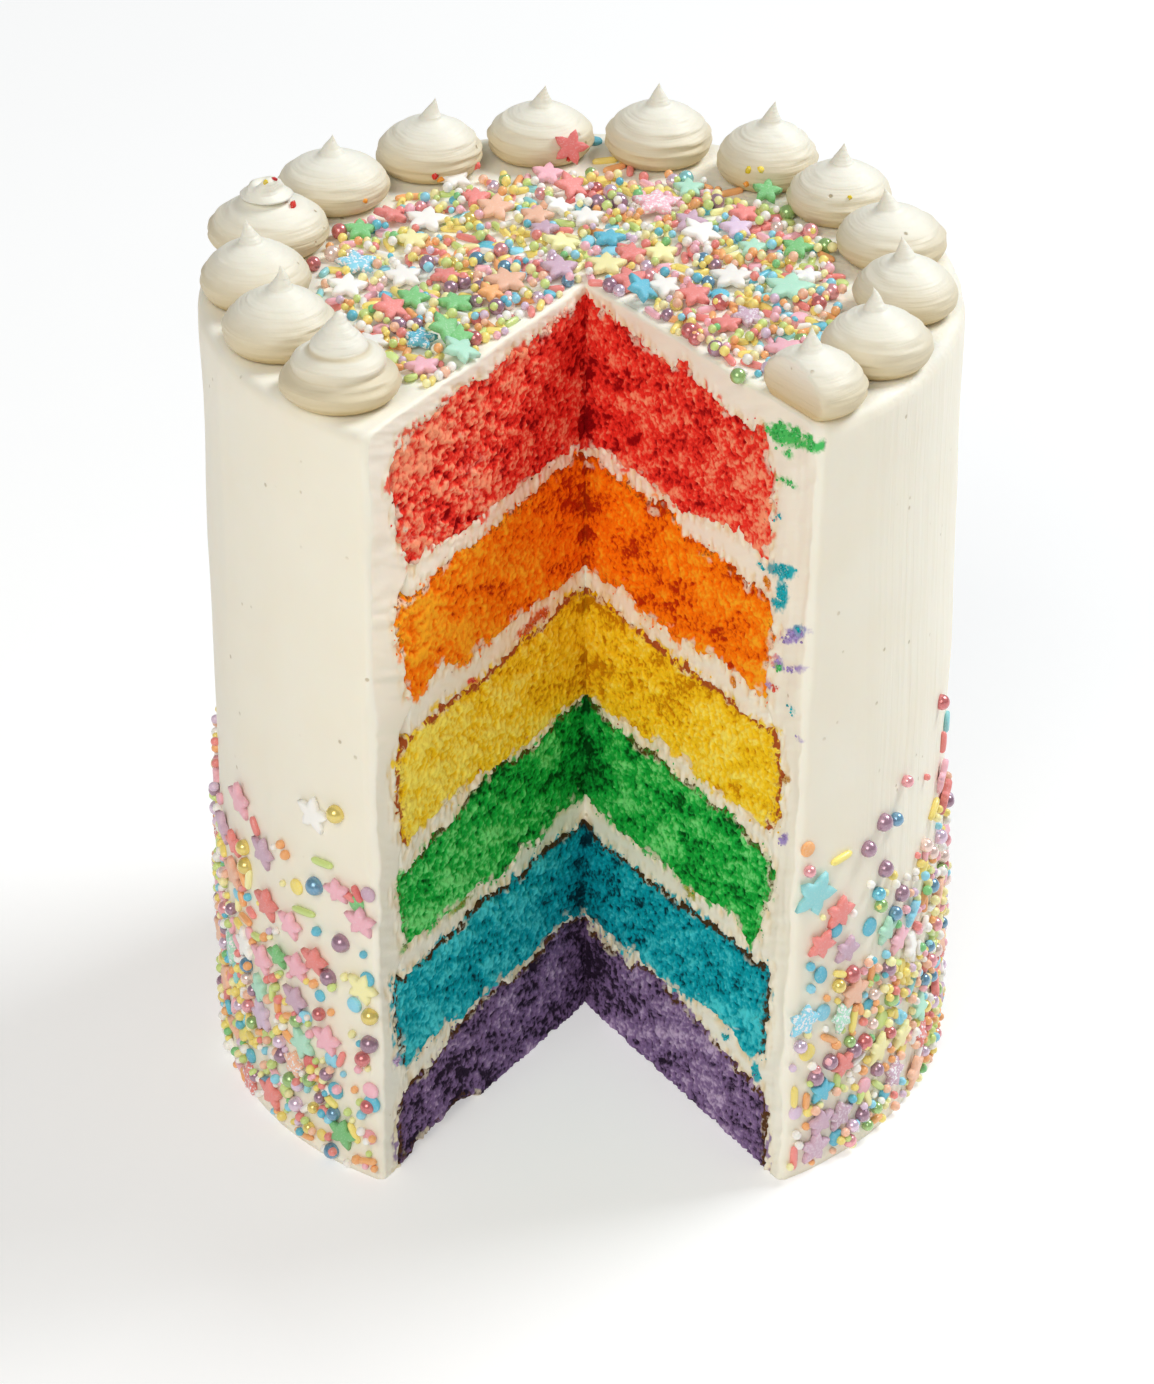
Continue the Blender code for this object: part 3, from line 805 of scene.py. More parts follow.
SPONGES = (
    Sponge(
        "purple", 0, 22.6, 75.6, 0, 100,
        line(
            "-77 19, -72 20, -65 19.5, -60 21, -54 23.2, -46 25, -40 26, -30 24.3, -20 25, -10 27, -5 26.5, "
            "0 24, 3.3 21.7, 17.6 21.5, 27.4 24.7, 35.1 23.8, 43.8 23.5, 50.4 21.6, 60.2 20.1, 72.2 19.3"
        ),
        line("-78 0.6, -70 1.6, -64 3.4, -52 4, -46 1.5, -42 -3, 78 -3"),
        line("0 78, 8 77.8, 14 76.8, 19 76"),
        line("6.2 77.1, 11 76.7, 15.7 75.6, 19.4 73.7"),
        (0.8, 0.9, 0.55), (1.0, 0.9),
        tone(44, 30, 50), tone(130, 102, 146), tone(196, 172, 204), tone(88, 56, 30),
        shadow=0.65, gain=-0.16,
    ),
    Sponge(
        "blue", 26.2, 23.4, 74.8, 1.9, 200,
        line(
            "-79 50, -70 49.2, -64 48.8, -58 50, -48 50.6, -40 52, -35 50, -20 50.4, -8 51, 0 49.5, "
            "4.3 48.2, 21.6 48.4, 32.4 48.5, 35.6 47.7, 43.1 50, 53.8 49.7, 75.2 51.2"
        ),
        line(
            "-76 24, -73 23, -70 24.5, -66 25.5, -61 26.5, -58 27.4, -54 25.5, -51 24, -46 27, -35 26.6, "
            "-25 26.2, -15 27, -10 28.6, -5 27, 0 25, 4.4 24.3, 13.2 23.5, 21.9 25.9, 38.3 25.3, 45.9 27.5, "
            "54.5 28.7, 62.1 27.9, 65.5 25.1, 69.3 24.5, 71.4 26.9, 75 29.1"
        ),
        line("23 74.6, 28 76, 35 77.6, 42 78.3, 50 78.8"),
        line("25 72, 29 74.2, 34.8 74.8, 42.5 74.7, 51.2 75.2"),
        (0.95, 0.9, 0.3), (0.95, 0.9),
        tone(0, 54, 66), tone(0, 160, 176), tone(76, 210, 218), tone(70, 50, 26),
        shadow=0.5, gain=0.1, shaded_hollows=((0.0, 45.0, 2.4),),
    ),
    Sponge(
        "green", 55.2, 25.2, 72.7, 1.5, 300,
        line(
            "-76.5 73, -74 75, -68 76.3, -62 78, -54 78.2, -50 79.2, -46 82, -38 82.6, -30 81.5, -20 81, "
            "-8 82.2, 0 82.5, 5.3 82, 10.6 80.9, 26.5 81.5, 42.3 81.2, 50.8 80.1, 59.2 80.9, 65.6 79.8, "
            "69.8 78.4, 74.6 78.2"
        ),
        line(
            "-73 56, -58 56, -50 54.6, -45 56, -35 54, -26 57, -20 55.2, -12 57.4, 0 57, 5.4 55.9, "
            "12.9 54.5, 32.3 55.7, 40.8 55, 53.7 55.9, 60 57.2, 63.3 54, 67.1 51.9, 69.1 55.7, 72.8 57.8"
        ),
        line("56 73.3, 60 74.2, 66 75, 73 76.3"),
        line("53.9 70.3, 58.7 70.8, 63.6 72.1, 69.4 73.1, 77.2 74.3"),
        (0.7, 0.5, 0.3), (0.95, 0.85),
        tone(0, 76, 20), tone(20, 174, 62), tone(120, 226, 128), tone(78, 66, 20),
        shadow=0.42, gain=0.06, shaded_hollows=((0.0, 80.0, 1.8), (1.0, 70.0, 2.2)),
    ),
    Sponge(
        "yellow", 83.3, 25.7, 74.2, -1.3, 400,
        line(
            "-76 105, -72 107, -66 108.2, -50 108, -35 108, -25 110, -18 109.6, -8 110.8, 0 110.8, "
            "6.3 110.5, 20.9 109.6, 41.7 108.8, 62.5 108.8, 73.8 109.4"
        ),
        line(
            "-73 80, -71 80.5, -68 82, -58 83.4, -50 83, -44 84, -38 82.8, -30 82.8, -20 82.2, -8 83.3, "
            "0 84, 8.5 82.9, 21.2 83.8, 33.8 85.3, 42.3 84.7, 52.8 83.8, 59.1 84.9, 68.6 83.8, 73.8 84"
        ),
        line("80 72, 85 74, 92 75, 100 75.6, 105 75.6"),
        line("83.9 72, 87.8 74.2, 92.7 75.6, 99.5 75.9, 105.3 74.5, 109.1 73.4"),
        (0.9, 0.95, 0.1), (0.75, 0.7),
        tone(200, 134, 0), tone(248, 204, 26), tone(255, 234, 100), tone(168, 82, 38),
        shadow=0.16, pale=0.1, gain=0.14, shaded_hollows=((-0.5, 106.6, 1.9), (-0.6, 92.5, 1.8), (8.0, 101.0, 1.2)),
    ),
    Sponge(
        "orange", 115.6, 26, 70.1, 1.5, 500,
        line(
            "-75 141.3, -66 140.6, -60 140.6, -55 142.4, -40 142.5, -20 143.2, -10 145, -4 145.5, 0 143.5, "
            "5.1 143.6, 15.3 143.2, 25.6 142.4, 29.6 144.2, 33.7 144, 36.4 139.3, 41 140.2, 51.2 140.5, "
            "61.4 139.5, 68.6 138.9"
        ),
        line(
            "-71 118, -66 114.8, -62 117, -59 118.5, -55 117.7, -51 116, -47 114, -40 115, -20 115.5, "
            "-8 115.6, 0 115, 4.2 116.4, 10.4 116.3, 17.7 116.7, 20.8 114.5, 31.2 114.2, 43.6 115.1, "
            "51.8 116.9, 58.1 116.3, 62.3 114.6, 69.5 115.2"
        ),
        line("115 68, 118 70.8, 122 71.8, 130 73.3, 140 74.6"),
        line("114.8 68.5, 121.6 68.9, 126.5 70.1, 131.4 70.9, 135.3 70.2, 139.1 67.9"),
        (0.5, 0.4, 0.35), (0.8, 0.75),
        tone(186, 48, 0), tone(254, 122, 0), tone(255, 172, 34), tone(136, 50, 14),
        shadow=0.22, gain=0.12, shaded_hollows=((-1.6, 139.6, 2.2), (0.2, 124.0, 2.8), (1.0, 132.0, 1.6)),
    ),
    Sponge(
        "red", 147.4, 31.6, 69.2, 4.8, 600,
        line(
            "-76 172, -73.5 177.5, -70 178, -60 179.5, -50 180, -40 179.5, -30 180, -10 180, 0 181.3, "
            "10 180.8, 20.1 179.5, 25.1 178.6, 31.1 177.1, 34.6 181.3, 36.6 181.3, 39.1 178.3, 45.2 177.1, "
            "50.2 176.1, 60.3 174.2, 61.3 176.7, 64.3 177.2, 66.5 171.3"
        ),
        line(
            "-68 146, -66 145.8, -63 149.3, -55 148, -45 146.2, -30 147.3, -15 148, -5 147, 0 145, "
            "5.1 147.1, 20.4 147.3, 30.6 146.4, 35.7 145.5, 42.9 146.8, 47.9 148.6, 56 149.7, 61.1 149.3, "
            "63.7 146.9, 68.3 146.9"
        ),
        line("146 67.5, 150 70.3, 155 72, 160 73.3, 165 74.3, 171 76, 178 73.5"),
        line("146.9 67.8, 155.7 67, 160.6 67.3, 166.4 68.6, 170.3 65.7, 176.2 64.8"),
        (0.35, 0.3, 0.15), (1.5, 0.85),
        tone(148, 2, 8), tone(238, 50, 38), tone(255, 158, 120), tone(120, 34, 20),
        shadow=0.15, pale=0.3, gain=0.12, shaded_hollows=((0.0, 150.6, 3.2), (1.4, 164.0, 1.8), (-1.0, 172.0, 1.4)),
    ),
)


def deepest(t: Array, z: Array) -> Pair:
    """The greatest distance inside any sponge, and which sponge that is."""
    depths = np.stack([sponge.inside(t, z) for sponge in SPONGES])
    return depths.max(axis=0), depths.argmax(axis=0)


def of_sponge(name: str, which: Array) -> Array:
    """A field of the sponges, such as crumb, for each of their numbers."""
    return np.array([getattr(sponge, name) for sponge in SPONGES])[which]


@dataclass(frozen=True)
class Smear:
    """A streak of crumb dragged over the cream of a cut face: an ellipse on (t, z)."""

    colour: Colour
    t: float
    z: float
    length: float
    height: float
    slope: float
    strength: float


CRUMB_TINTS = tones(
    "green 70 196 96; teal 10 178 190; purple 170 148 204; orange 238 150 36; red 226 84 62; "
    "lilac 196 168 206; toast 208 158 82; rust 216 96 40; moss 150 176 110; olive 176 170 70; "
    "khaki 150 158 60; jade 120 196 176; blush 246 196 172"
)


def smears(rows: str) -> tuple[Smear, ...]:
    """Smears from entries of tint, t, z, length, height, slope and strength."""
    return tuple(Smear(CRUMB_TINTS[words[0]], *numbers) for words, numbers in entries(rows))


SMEARS = smears("""
green 69.2 178.2 4.2 2.3 0.1 1.2; green 75.2 179.7 3.4 2.2 0.1 0.9; green 80.2 180.3 2.6 1.8 0 1.1;
green 72.4 174.8 2 1.4 0 0.7; green 72.6 168.4 4.2 1.2 0.1 0.45; teal 70.1 159.2 2 0.9 0.5 0.6;
teal 71.9 147.4 4.6 1.7 0.35 1.2; teal 64.3 145.1 1.6 1 0.1 0.8; teal 72.6 142.1 2.4 3.4 0.5 0.95;
teal 70.3 138.6 1.3 1.2 0 1; orange 67.1 142.2 1.7 1.6 0 1.1; purple 77.2 134.6 4.2 1.8 0.6 0.9;
teal 78.7 136.4 1.9 1.3 0.3 0.6; purple 77.8 126.7 4 1.1 0.5 0.85; purple 71.8 125.8 1.7 1.4 0.3 0.9;
green 72.2 124.6 1.2 0.9 0.3 1; red 71.6 119.5 1.4 0.8 0.2 0.9; lilac 69.5 118.9 1.1 1.2 0 0.8;
teal 78.1 117 1.6 1.6 0.3 0.35; purple 80.6 111.4 1.6 0.8 0 0.6; toast 76.9 99.5 1.6 1.1 0.4 0.7;
purple 77.3 85.1 1.7 1.6 0.8 0.8; teal 71.4 22.3 1.5 2.2 0 1.1; teal 59 24.7 1.6 1.1 0.2 0.9;
rust -24 111.6 4.2 1.8 0.2 0.85; rust -17.5 111.8 2.4 1.6 0 0.8; red -45.5 108.6 1.8 0.9 -0.4 1.1;
lilac -77 28.4 1.8 1.6 0 0.9; moss -74 56 1.8 1.6 0 0.5; orange 56.9 113.7 1.4 1.4 0 0.9;
olive 43.5 54 3.4 1.6 0 0.6; khaki -50 54.5 5.5 1.2 0 0.55; jade -69.5 26.5 1.8 1.4 0.3 0.6;
blush -12 181 5 1.6 0.3 0.5
""")


@dataclass(frozen=True)
class Cream:
    """The buttercream as the cut faces show it: a smooth sheet that dives under crumb."""

    seed: int = 40

    def height(self, t: Array, z: Array, depth: Array) -> Array:
        """Height off the face: knife waves, and a fall of 2 mm from a sponge's edge in.

        Args:
            t, z: The places.
            depth: Distance inside the nearest sponge.

        Returns:
            The height, shaped like t.
        """
        along, across = torn(t, z)
        drag = 0.16 * waves(along * 0.4, across, 1.9, self.seed, 2) + 0.22 * waves(t, z, 9.0, self.seed + 1)
        rough = 0.4 * self.feather(t, z) + 0.16 * waves(along, across, 0.9, self.seed + 6)
        crumbly = ease(-3.4, -0.2, depth) * rough
        ridges = 0.16 * ease(66.0, 74.0, t) * waves(t, 0.12 * z, 2.4, self.seed + 7, 2)
        return drag + crumbly + ridges - 2.0 * ease(0.0, 1.7, depth)

    def feather(self, t: Array, z: Array) -> Array:
        """Short upright strokes where the knife dragged cream over crumb."""
        return waves(t, 0.38 * z, 1.15, self.seed + 2, 2)

    def warmth(self, t: Array, z: Array, depth: Array) -> Array:
        """How much painted warm shade the cream gets: more between the strokes and close to a sponge."""
        near = ease(-3.6, 0.0, depth)
        return near * (0.25 + 0.75 * ease(0.25, -0.75, self.feather(t, z)))

    def stain(self, t: Array, z: Array, depth: Array, nearest: Array) -> Array:
        """The crumb that the knife dragged over the cream: near the sponges, and in smears.

        Args:
            t, z: The places.
            depth: Distance inside the nearest sponge.
            nearest: Which sponge that is.

        Returns:
            A colour with its strength as alpha (..., 4).
        """
        colour = 0.75 * of_sponge("crumb", nearest) + 0.25 * of_sponge("tip", nearest)
        flecks = waves(t, 0.5 * z, 1.1, self.seed + 3, 2) + 0.6 * waves(t, z, 5.0, self.seed + 4)
        near = ease(-2.9, -0.2, depth)
        strength = near * ease(0.2, 1.0, flecks) * 0.8 + 0.12 * near
        total = strength[..., None] * colour
        weight = strength
        ragged = 0.85 + 0.85 * waves(t, z, 1.5, self.seed + 5, 3)
        for smear in SMEARS:
            side = (t - smear.t) / smear.length
            rise = (z - smear.z - smear.slope * (t - smear.t)) / smear.height
            share = smear.strength * ease(1.75, 0.25, np.hypot(side, rise)) * np.clip(ragged, 0.0, 1.4)
            total = total + share[..., None] * np.array(smear.colour)
            weight = weight + share
        colour = total / np.maximum(weight, 1e-6)[..., None]
        return np.concatenate([colour, np.clip(weight, 0.0, 1.0)[..., None]], -1)


CREAM = Cream()


# ---- sponges, fillings


@dataclass
class Layer:
    """Shared by sponges and fillings: a fine sheet on the cut, a plain disc behind it."""

    cell: float = 0.34
    steps: int = 90
    reach: float = 75.0
    underside: float = 0.15

    def close(self, skin: Skin, sheet: Array, radius: float, shift: float, low: float, high: float) -> None:
        """Joins the sheet's border to the disc's rim above, below and at both ends.

        Args:
            skin: The piece.
            sheet: The sheet's point numbers, rows from the bottom up.
            radius, shift: The disc's radius, and how far its centre lies towards -X.
            low, high: Heights of its underside and its top.
        """
        share, rims = np.linspace(0.0, 1.0, self.steps), []
        for z in (low, high):
            angles = CUT.direction(share, z, math.radians(1.5))
            rims.append(skin.add(CUT.polar(angles, CUT.reach(angles, radius, -shift), z)))
        lower, upper = rims
        skin.strip(sheet[-1], upper)
        skin.strip(lower, sheet[0])
        skin.grid(np.stack([lower, upper]))
        skin.strip(np.array([lower[0], upper[0]]), sheet[:, 0])
        skin.strip(sheet[:, -1], np.array([lower[-1], upper[-1]]))


@dataclass
class SpongeLayer(Layer):
    """One sponge in its crumb, from its patch on the cut back to its hidden rim."""

    sponge: Sponge = SPONGES[0]
    margin: float = 1.7
    fall: float = 2.3

    def patch(self) -> Pair:
        """Places of the sheet: the patch that shows, with a margin round it.

        Returns:
            t and z on a grid, rows from the bottom up.
        """
        sponge = self.sponge
        share = np.linspace(-1.0, 1.0, int(2 * self.reach / self.cell))[None, :]
        level = np.linspace(0.0, 1.0, int((sponge.thickness + 2 * self.margin) / self.cell))[:, None]
        t = share * (sponge.edge_at(share, sponge.base + level * sponge.thickness) + self.margin)
        low = np.maximum(sponge.bottom_at(t) - self.margin, self.underside)
        return t, low + level * (sponge.top_at(t) + self.margin - low)

    def crust(self, t: Array, z: Array) -> Array:
        """How brown the crumb is: specks on its borders, over a faint band inside them.

        Args:
            t, z: The places.

        Returns:
            0 for plain crumb up to 1 for crust.
        """
        sponge, (top, edge, bottom) = self.sponge, self.sponge.crust
        ragged = 0.9 * sponge.ragged(t, z)
        from_top, from_edge = sponge.top_at(t) - z, sponge.edge_at(t, z) - np.abs(t)
        borders = (
            top * ease(2.1, 0.9, from_top + ragged),
            edge * ease(2.6, 0.8, from_edge + ragged),
            bottom * ease(2.0, 0.8, z - sponge.bottom_at(t) + ragged),
        )
        baked = np.maximum(0.42 * edge * ease(7.0, 0.5, from_edge), 0.36 * top * ease(3.6, 0.6, from_top))
        specks = waves(t, 0.7 * z, 0.8, sponge.seed + 8, 2) + 0.45 * waves(t, z, 5.0, sponge.seed + 9)
        return np.maximum(np.maximum.reduce(borders) * ease(-0.8, 0.0, specks), baked)

    def smear(self, t: Array, z: Array, depth: Array) -> Array:
        """How much cream lies on the crumb: at its border, and in streaks at the outer left.

        Args:
            t, z: The places.
            depth: Distance inside the patch.

        Returns:
            A share from 0 to 1.
        """
        seed, (along, across) = self.sponge.seed, torn(t, z)
        streaks = waves(along, across, 2.6, seed + 30, 2) + 0.5 * waves(t, z, 14.0, seed + 31)
        border = ease(3.4, 0.2, depth) * ease(0.0, 1.1, waves(t, z, 3.0, seed + 9, 2) + 0.15)
        return np.maximum(border, self.sponge.pale * ease(-18.0, -40.0, t) * ease(0.0, 0.9, streaks))

    def painted_light_and_tone(self, t: Array, z: Array, relief: Array) -> Array:
        """How light the crumb is, most of it painted light and shade: painted highlight on its peaks and
        painted shade in its pits, a lighter outer part and left face, painted shade at the tip's corner, in
        dark spots and near the tip, and random streaks of tone.

        Args:
            t, z: The places.
            relief: Height off the face.

        Returns:
            0 for painted shade in the pits up to 1 for painted highlight on the peaks.
        """
        sponge, seed, (along, across) = self.sponge, self.sponge.seed, torn(t, z)
        # Painted highlight on the peaks and painted shade in the pits, and the outer part painted lighter.
        bright = ease(-1.1, 0.95, relief) + 0.08 * ease(40.0, 68.0, np.abs(t))
        bright = bright + 0.2 * waves(0.55 * along, across, 4.6, seed + 32, 2)
        # Painted shade at the corner where the two faces meet at the tip.
        crease_shade = ease(3.4, 0.3, np.abs(t)) * ease(-0.4, 0.7, waves(t, z, 4.5, seed + 33, 2))
        # The left face painted lighter as painted light, or darker as painted shade where the value is
        # negative.
        bright = bright - 0.14 * crease_shade + sponge.gain * ease(-8.0, -48.0, t)
        # Spots painted darker, as shade.
        for at_t, at_z, radius in sponge.shaded_hollows:
            off = np.hypot(t - at_t, 1.3 * (z - at_z)) / radius + 0.45 * waves(t, z, 1.6, seed + 34, 2)
            bright = bright - 0.6 * ease(1.4, 0.3, off)
        # Painted shade near the tip.
        return bright * (1 - sponge.shadow * 0.75 * ease(17.0, 2.0, np.abs(t)))

    def build(self, material: Material) -> Object:
        """Makes the piece. Its sheet lies at the relief, less a fall beyond the ragged edge.

        Args:
            material: Its finish.

        Returns:
            The piece.
        """
        sponge, (t, z) = self.sponge, self.patch()
        depth, relief = sponge.inside(t, z), sponge.relief(t, z)
        out = relief * ease(-0.4, 1.6, depth) + 0.1 - self.fall * ease(0.35, -1.5, depth)
        skin = Skin(f"{sponge.name}_sponge")
        sheet = skin.add(
            CUT.place(t, z, out),
            # The relief value is the crumb's painted light and shade, with random streaks of tone.
            relief=self.painted_light_and_tone(t, z, relief),
            crust=self.crust(t, z),
            smear=self.smear(t, z, depth),
        )
        skin.grid(sheet)
        low = max(sponge.base, self.underside)
        self.close(skin, sheet, sponge.radius, sponge.shift, low, sponge.base + sponge.thickness)
        return settle(skin.finish(material), sponge.node, sponge.node)


@dataclass
class Filling(Layer):
    """The buttercream between two sponges."""

    cell: float = 0.42
    lower: Sponge = SPONGES[0]
    upper: Sponge = SPONGES[1]
    under: float = 2.2
    gap: float = 0.3

    def build(self, material: Material) -> Object:
        """Makes the piece. Its sheet runs a little way under both sponges and the coat.

        Args:
            material: Its finish.

        Returns:
            The piece.
        """
        lower, upper = self.lower, self.upper
        low_z, high_z = lower.base + lower.thickness, upper.base
        share = np.linspace(-1.0, 1.0, int(2 * self.reach / self.cell))[None, :]
        middle = np.full((1, 1), 0.5 * (low_z + high_z))
        edge = np.minimum(lower.edge_at(share, middle), upper.edge_at(share, middle)) + 2.5
        t = share * edge
        low, high = lower.top_at(t) - self.under, upper.bottom_at(t) + self.under
        level = np.linspace(0.0, 1.0, int(float((high - low).max()) / self.cell))[:, None]
        z = low + level * (high - low)
        t = np.broadcast_to(t, z.shape)
        depth, nearest = deepest(t, z)
        out = CREAM.height(t, z, depth) - 0.04 - 1.2 * ease(1.0, 0.0, edge - np.abs(t))
        skin = Skin(f"{lower.name}_{upper.name}_filling")
        stain, fold = CREAM.stain(t, z, depth, nearest), CREAM.warmth(t, z, depth)
        sheet = skin.add(CUT.place(t, z, out), stain=stain, fold=fold)
        skin.grid(sheet)
        radius = 0.5 * (lower.radius + upper.radius) - 2.6
        shift = 0.5 * (lower.shift + upper.shift)
        self.close(skin, sheet, radius, shift, low_z + self.gap, high_z - self.gap)
        return settle(skin.finish(material), "buttercream", f"filling_{lower.name}_{upper.name}")


# ---- the coat


@dataclass
class Coat:
    """The buttercream round the side and on the top.

    The cut shows it as an arch: up the left face, over both faces and down the right one.
    rows are distances along its profile, from the foot over the rim and in to the tip.
    """

    rim: float = 3.0
    cell: float = 0.55
    across: int = 28
    columns: int = 286
    soft_edge: float = 1.1
    under: float = 2.3
    inner_top: float = 176.0
    tip_rows: int = 3

    @property
    def wall(self) -> float:
        """Length of the profile's upright part."""
        return ICING_HEIGHT - self.rim

    @property
    def length(self) -> float:
        """Length of the whole profile."""
        return self.wall + 0.5 * math.pi * self.rim + ICING_RADIUS - self.rim

    def side_relief(self, x: Array, y: Array, z: Array) -> Array:
        """How far the side stands out: slow waves, and knife streaks at the right.

        Args:
            x, y, z: Places on the side.

        Returns:
            Distances, negative inwards.
        """
        angle = np.arctan2(x, AXIS_Y - y)
        arc = angle * ICING_RADIUS
        slow = 0.3 * waves(arc, z, 26.0, 61, 2, ROUND_TRIP)
        bands = 0.1 * waves(arc, z * 0.06, 5.0, 62, 2, ROUND_TRIP)
        comb = waves(arc, z * 0.045, 1.9, 63, 2, ROUND_TRIP)
        right = ease(0.75, 1.15, angle) * ease(3.1, 2.4, angle)
        ridges = -0.3 * right * np.abs(comb)
        lip = 0.25 * ease(176.0, 184.0, z) * waves(arc, z, 7.0, 64, 2, ROUND_TRIP)
        return slow + bands + ridges + lip - 0.35

    def top_relief(self, x: Array, y: Array) -> Array:
        """Height of the top over or under ICING_HEIGHT: the marks of a flat knife."""
        return 0.22 * waves(x, y, 15.0, 65, 2) + 0.08 * waves(x * 0.4, y, 4.0, 66) - 0.3

    def outline(self, share: Array, rows: Array, inset: float = 0.0) -> Array:
        """Points up the outside and in over the top, for each direction.

        Args:
            share: Directions from the left face, 0, round to the right one, 1.
            rows: Distances along the profile.
            inset: How far the first and last directions keep off the faces.

        Returns:
            Points (direction, row, 3).
        """
        share, rows = share[:, None], rows[None, :]
        corner = 0.5 * math.pi * self.rim
        turn = np.clip((rows - self.wall) / self.rim, 0.0, 0.5 * math.pi)
        z = np.minimum(rows, self.wall) + self.rim * np.sin(turn)
        angle = CUT.direction(share, z, inset)
        reach = CUT.reach(angle, ICING_RADIUS)
        inward = np.clip((rows - self.wall - corner) / (self.length - self.wall - corner), 0.0, 1.0)
        distance = reach - self.rim * (1 - np.cos(turn)) - inward * (reach - self.rim)
        flat = CUT.polar(angle, distance, z)
        x, y = flat[..., 0], flat[..., 1]
        out = self.side_relief(x, y, z) * np.cos(turn) * ease(0.0, 2.0, distance)
        return CUT.polar(angle, distance + out, z + self.top_relief(x, y) * np.sin(turn))

    def inner_line(self, sign: float, rows: Array) -> Pair:
        """The arch's inner border on one face, under the sponges' edges.

        Args:
            sign: -1 for the left face and 1 for the right one.
            rows: Distances along the outer profile.

        Returns:
            t and z for each of them.
        """
        heights = np.arange(0.0, self.inner_top, 0.5)
        edges = np.full_like(heights, np.nan)
        for sponge in SPONGES:
            near = (heights > sponge.base - 1.5) & (heights < sponge.base + sponge.thickness + 1.5)
            edges = np.where(near, np.fmin(edges, sponge.edge_at(sign, heights)), edges)
        known = np.isfinite(edges)
        edges = smoothed(np.interp(heights, heights[known], edges[known]))
        z_side = np.clip(rows / self.wall, 0.0, 1.0) * self.inner_top
        t_side = np.interp(z_side, heights, edges) - self.under
        inward = np.clip((rows - self.wall) / (self.length - self.wall), 0.0, 1.0)
        t_corner = t_side[np.searchsorted(rows, self.wall) - 1]
        t = np.where(rows <= self.wall, t_side, t_corner * (1 - inward))
        top = SPONGES[-1].top_at(sign * t) - self.under
        blend = ease(0.0, 0.12, inward)
        z = np.where(rows <= self.wall, z_side, self.inner_top * (1 - blend) + top * blend)
        return sign * t, z

    def arch(self, skin: Skin, sign: float, rows: Array) -> Array:
        """Adds the cut face of the coat on one side.

        Args:
            skin: The piece.
            sign: -1 for the left face and 1 for the right one.
            rows: Distances along the profile.

        Returns:
            The points' numbers, a row for each of rows, from the inner to the outer line.
        """
        outer = self.outline(np.array([0.5 + 0.5 * sign]), rows)[0]
        outer_t = sign * np.hypot(outer[:, 0] - CUT.tip[0], outer[:, 1] - CUT.tip[1])
        uneven = 0.45 + 0.5 * waves(np.full_like(rows, sign * 9.0), rows, 7.0, 68, 3)
        outer_t = outer_t - sign * np.clip(uneven, 0.0, 1.0) * ease(0.0, 30.0, np.abs(outer_t))
        inner_t, inner_z = self.inner_line(sign, rows)
        v = np.linspace(0.0, 1.0, self.across)[None, :]
        t = inner_t[:, None] * (1 - v) + outer_t[:, None] * v
        z = inner_z[:, None] * (1 - v) + outer[:, 2][:, None] * v
        band = np.hypot(outer_t - inner_t, outer[:, 2] - inner_z)[:, None]
        left_over = np.clip(self.soft_edge - (1 - v) * band, 0.0, self.soft_edge)
        round_off = self.soft_edge - np.sqrt(self.soft_edge**2 - left_over**2)
        depth, nearest = deepest(t, z)
        height = CREAM.height(t, z, depth) * ease(0.0, 0.12, 1 - v)
        points = CUT.place(t, z, height - round_off - 0.7 * ease(0.14, 0.0, v))
        stain, fold = CREAM.stain(t, z, depth, nearest), CREAM.warmth(t, z, depth)
        numbers = skin.add(points, stain=stain, fold=fold)
        skin.grid(numbers if sign > 0 else numbers[:, ::-1])
        return numbers

    def outside(self, skin: Skin, inset: float) -> Array:
        """Adds the side and the top, with comb streaks at the right, painted warm shade on the side and a top
        painted paler, as painted light.

        Args:
            skin: The piece.
            inset: How far it keeps off the faces, as an angle.

        Returns:
            The points' numbers, rows from the foot in, one for each direction.
        """
        around = np.linspace(0.0, 1.0, self.columns)
        rows = np.linspace(0.0, self.length - 1.2, int(self.length / 1.45))
        points = CUT.clear(self.outline(around, rows, inset), self.soft_edge + 0.15)
        azimuth = np.arctan2(points[..., 0], AXIS_Y - points[..., 1])
        comb = ease(0.7, 0.95, azimuth) * ease(3.1, 2.4, azimuth)
        # Painted warm shade on the side, and the top painted paler as painted light.
        fold = 0.09 - 0.21 * ease(183.0, 184.5, points[..., 2])
        numbers = skin.add(points, comb=comb, fold=fold)
        skin.grid(numbers)
        return numbers

    def inside(self, skin: Skin, inset: float) -> Array:
        """Adds the inner wall, which the layers hide.

        Args:
            skin: The piece.
            inset: How far it keeps off the faces, as an angle.

        Returns:
            The points' numbers, rows from the foot up, one for each direction.
        """
        share = np.linspace(0.0, 1.0, 64)[:, None]
        z = np.linspace(0.0, self.inner_top, 40)
        climb = z * self.wall / self.inner_top
        left, right = (np.abs(self.inner_line(sign, climb)[0]) for sign in (-1.0, 1.0))
        distance = left * (1 - share) + right * share
        numbers = skin.add(CUT.polar(CUT.direction(share, z, inset), distance, z))
        skin.grid(numbers[:, ::-1])
        return numbers

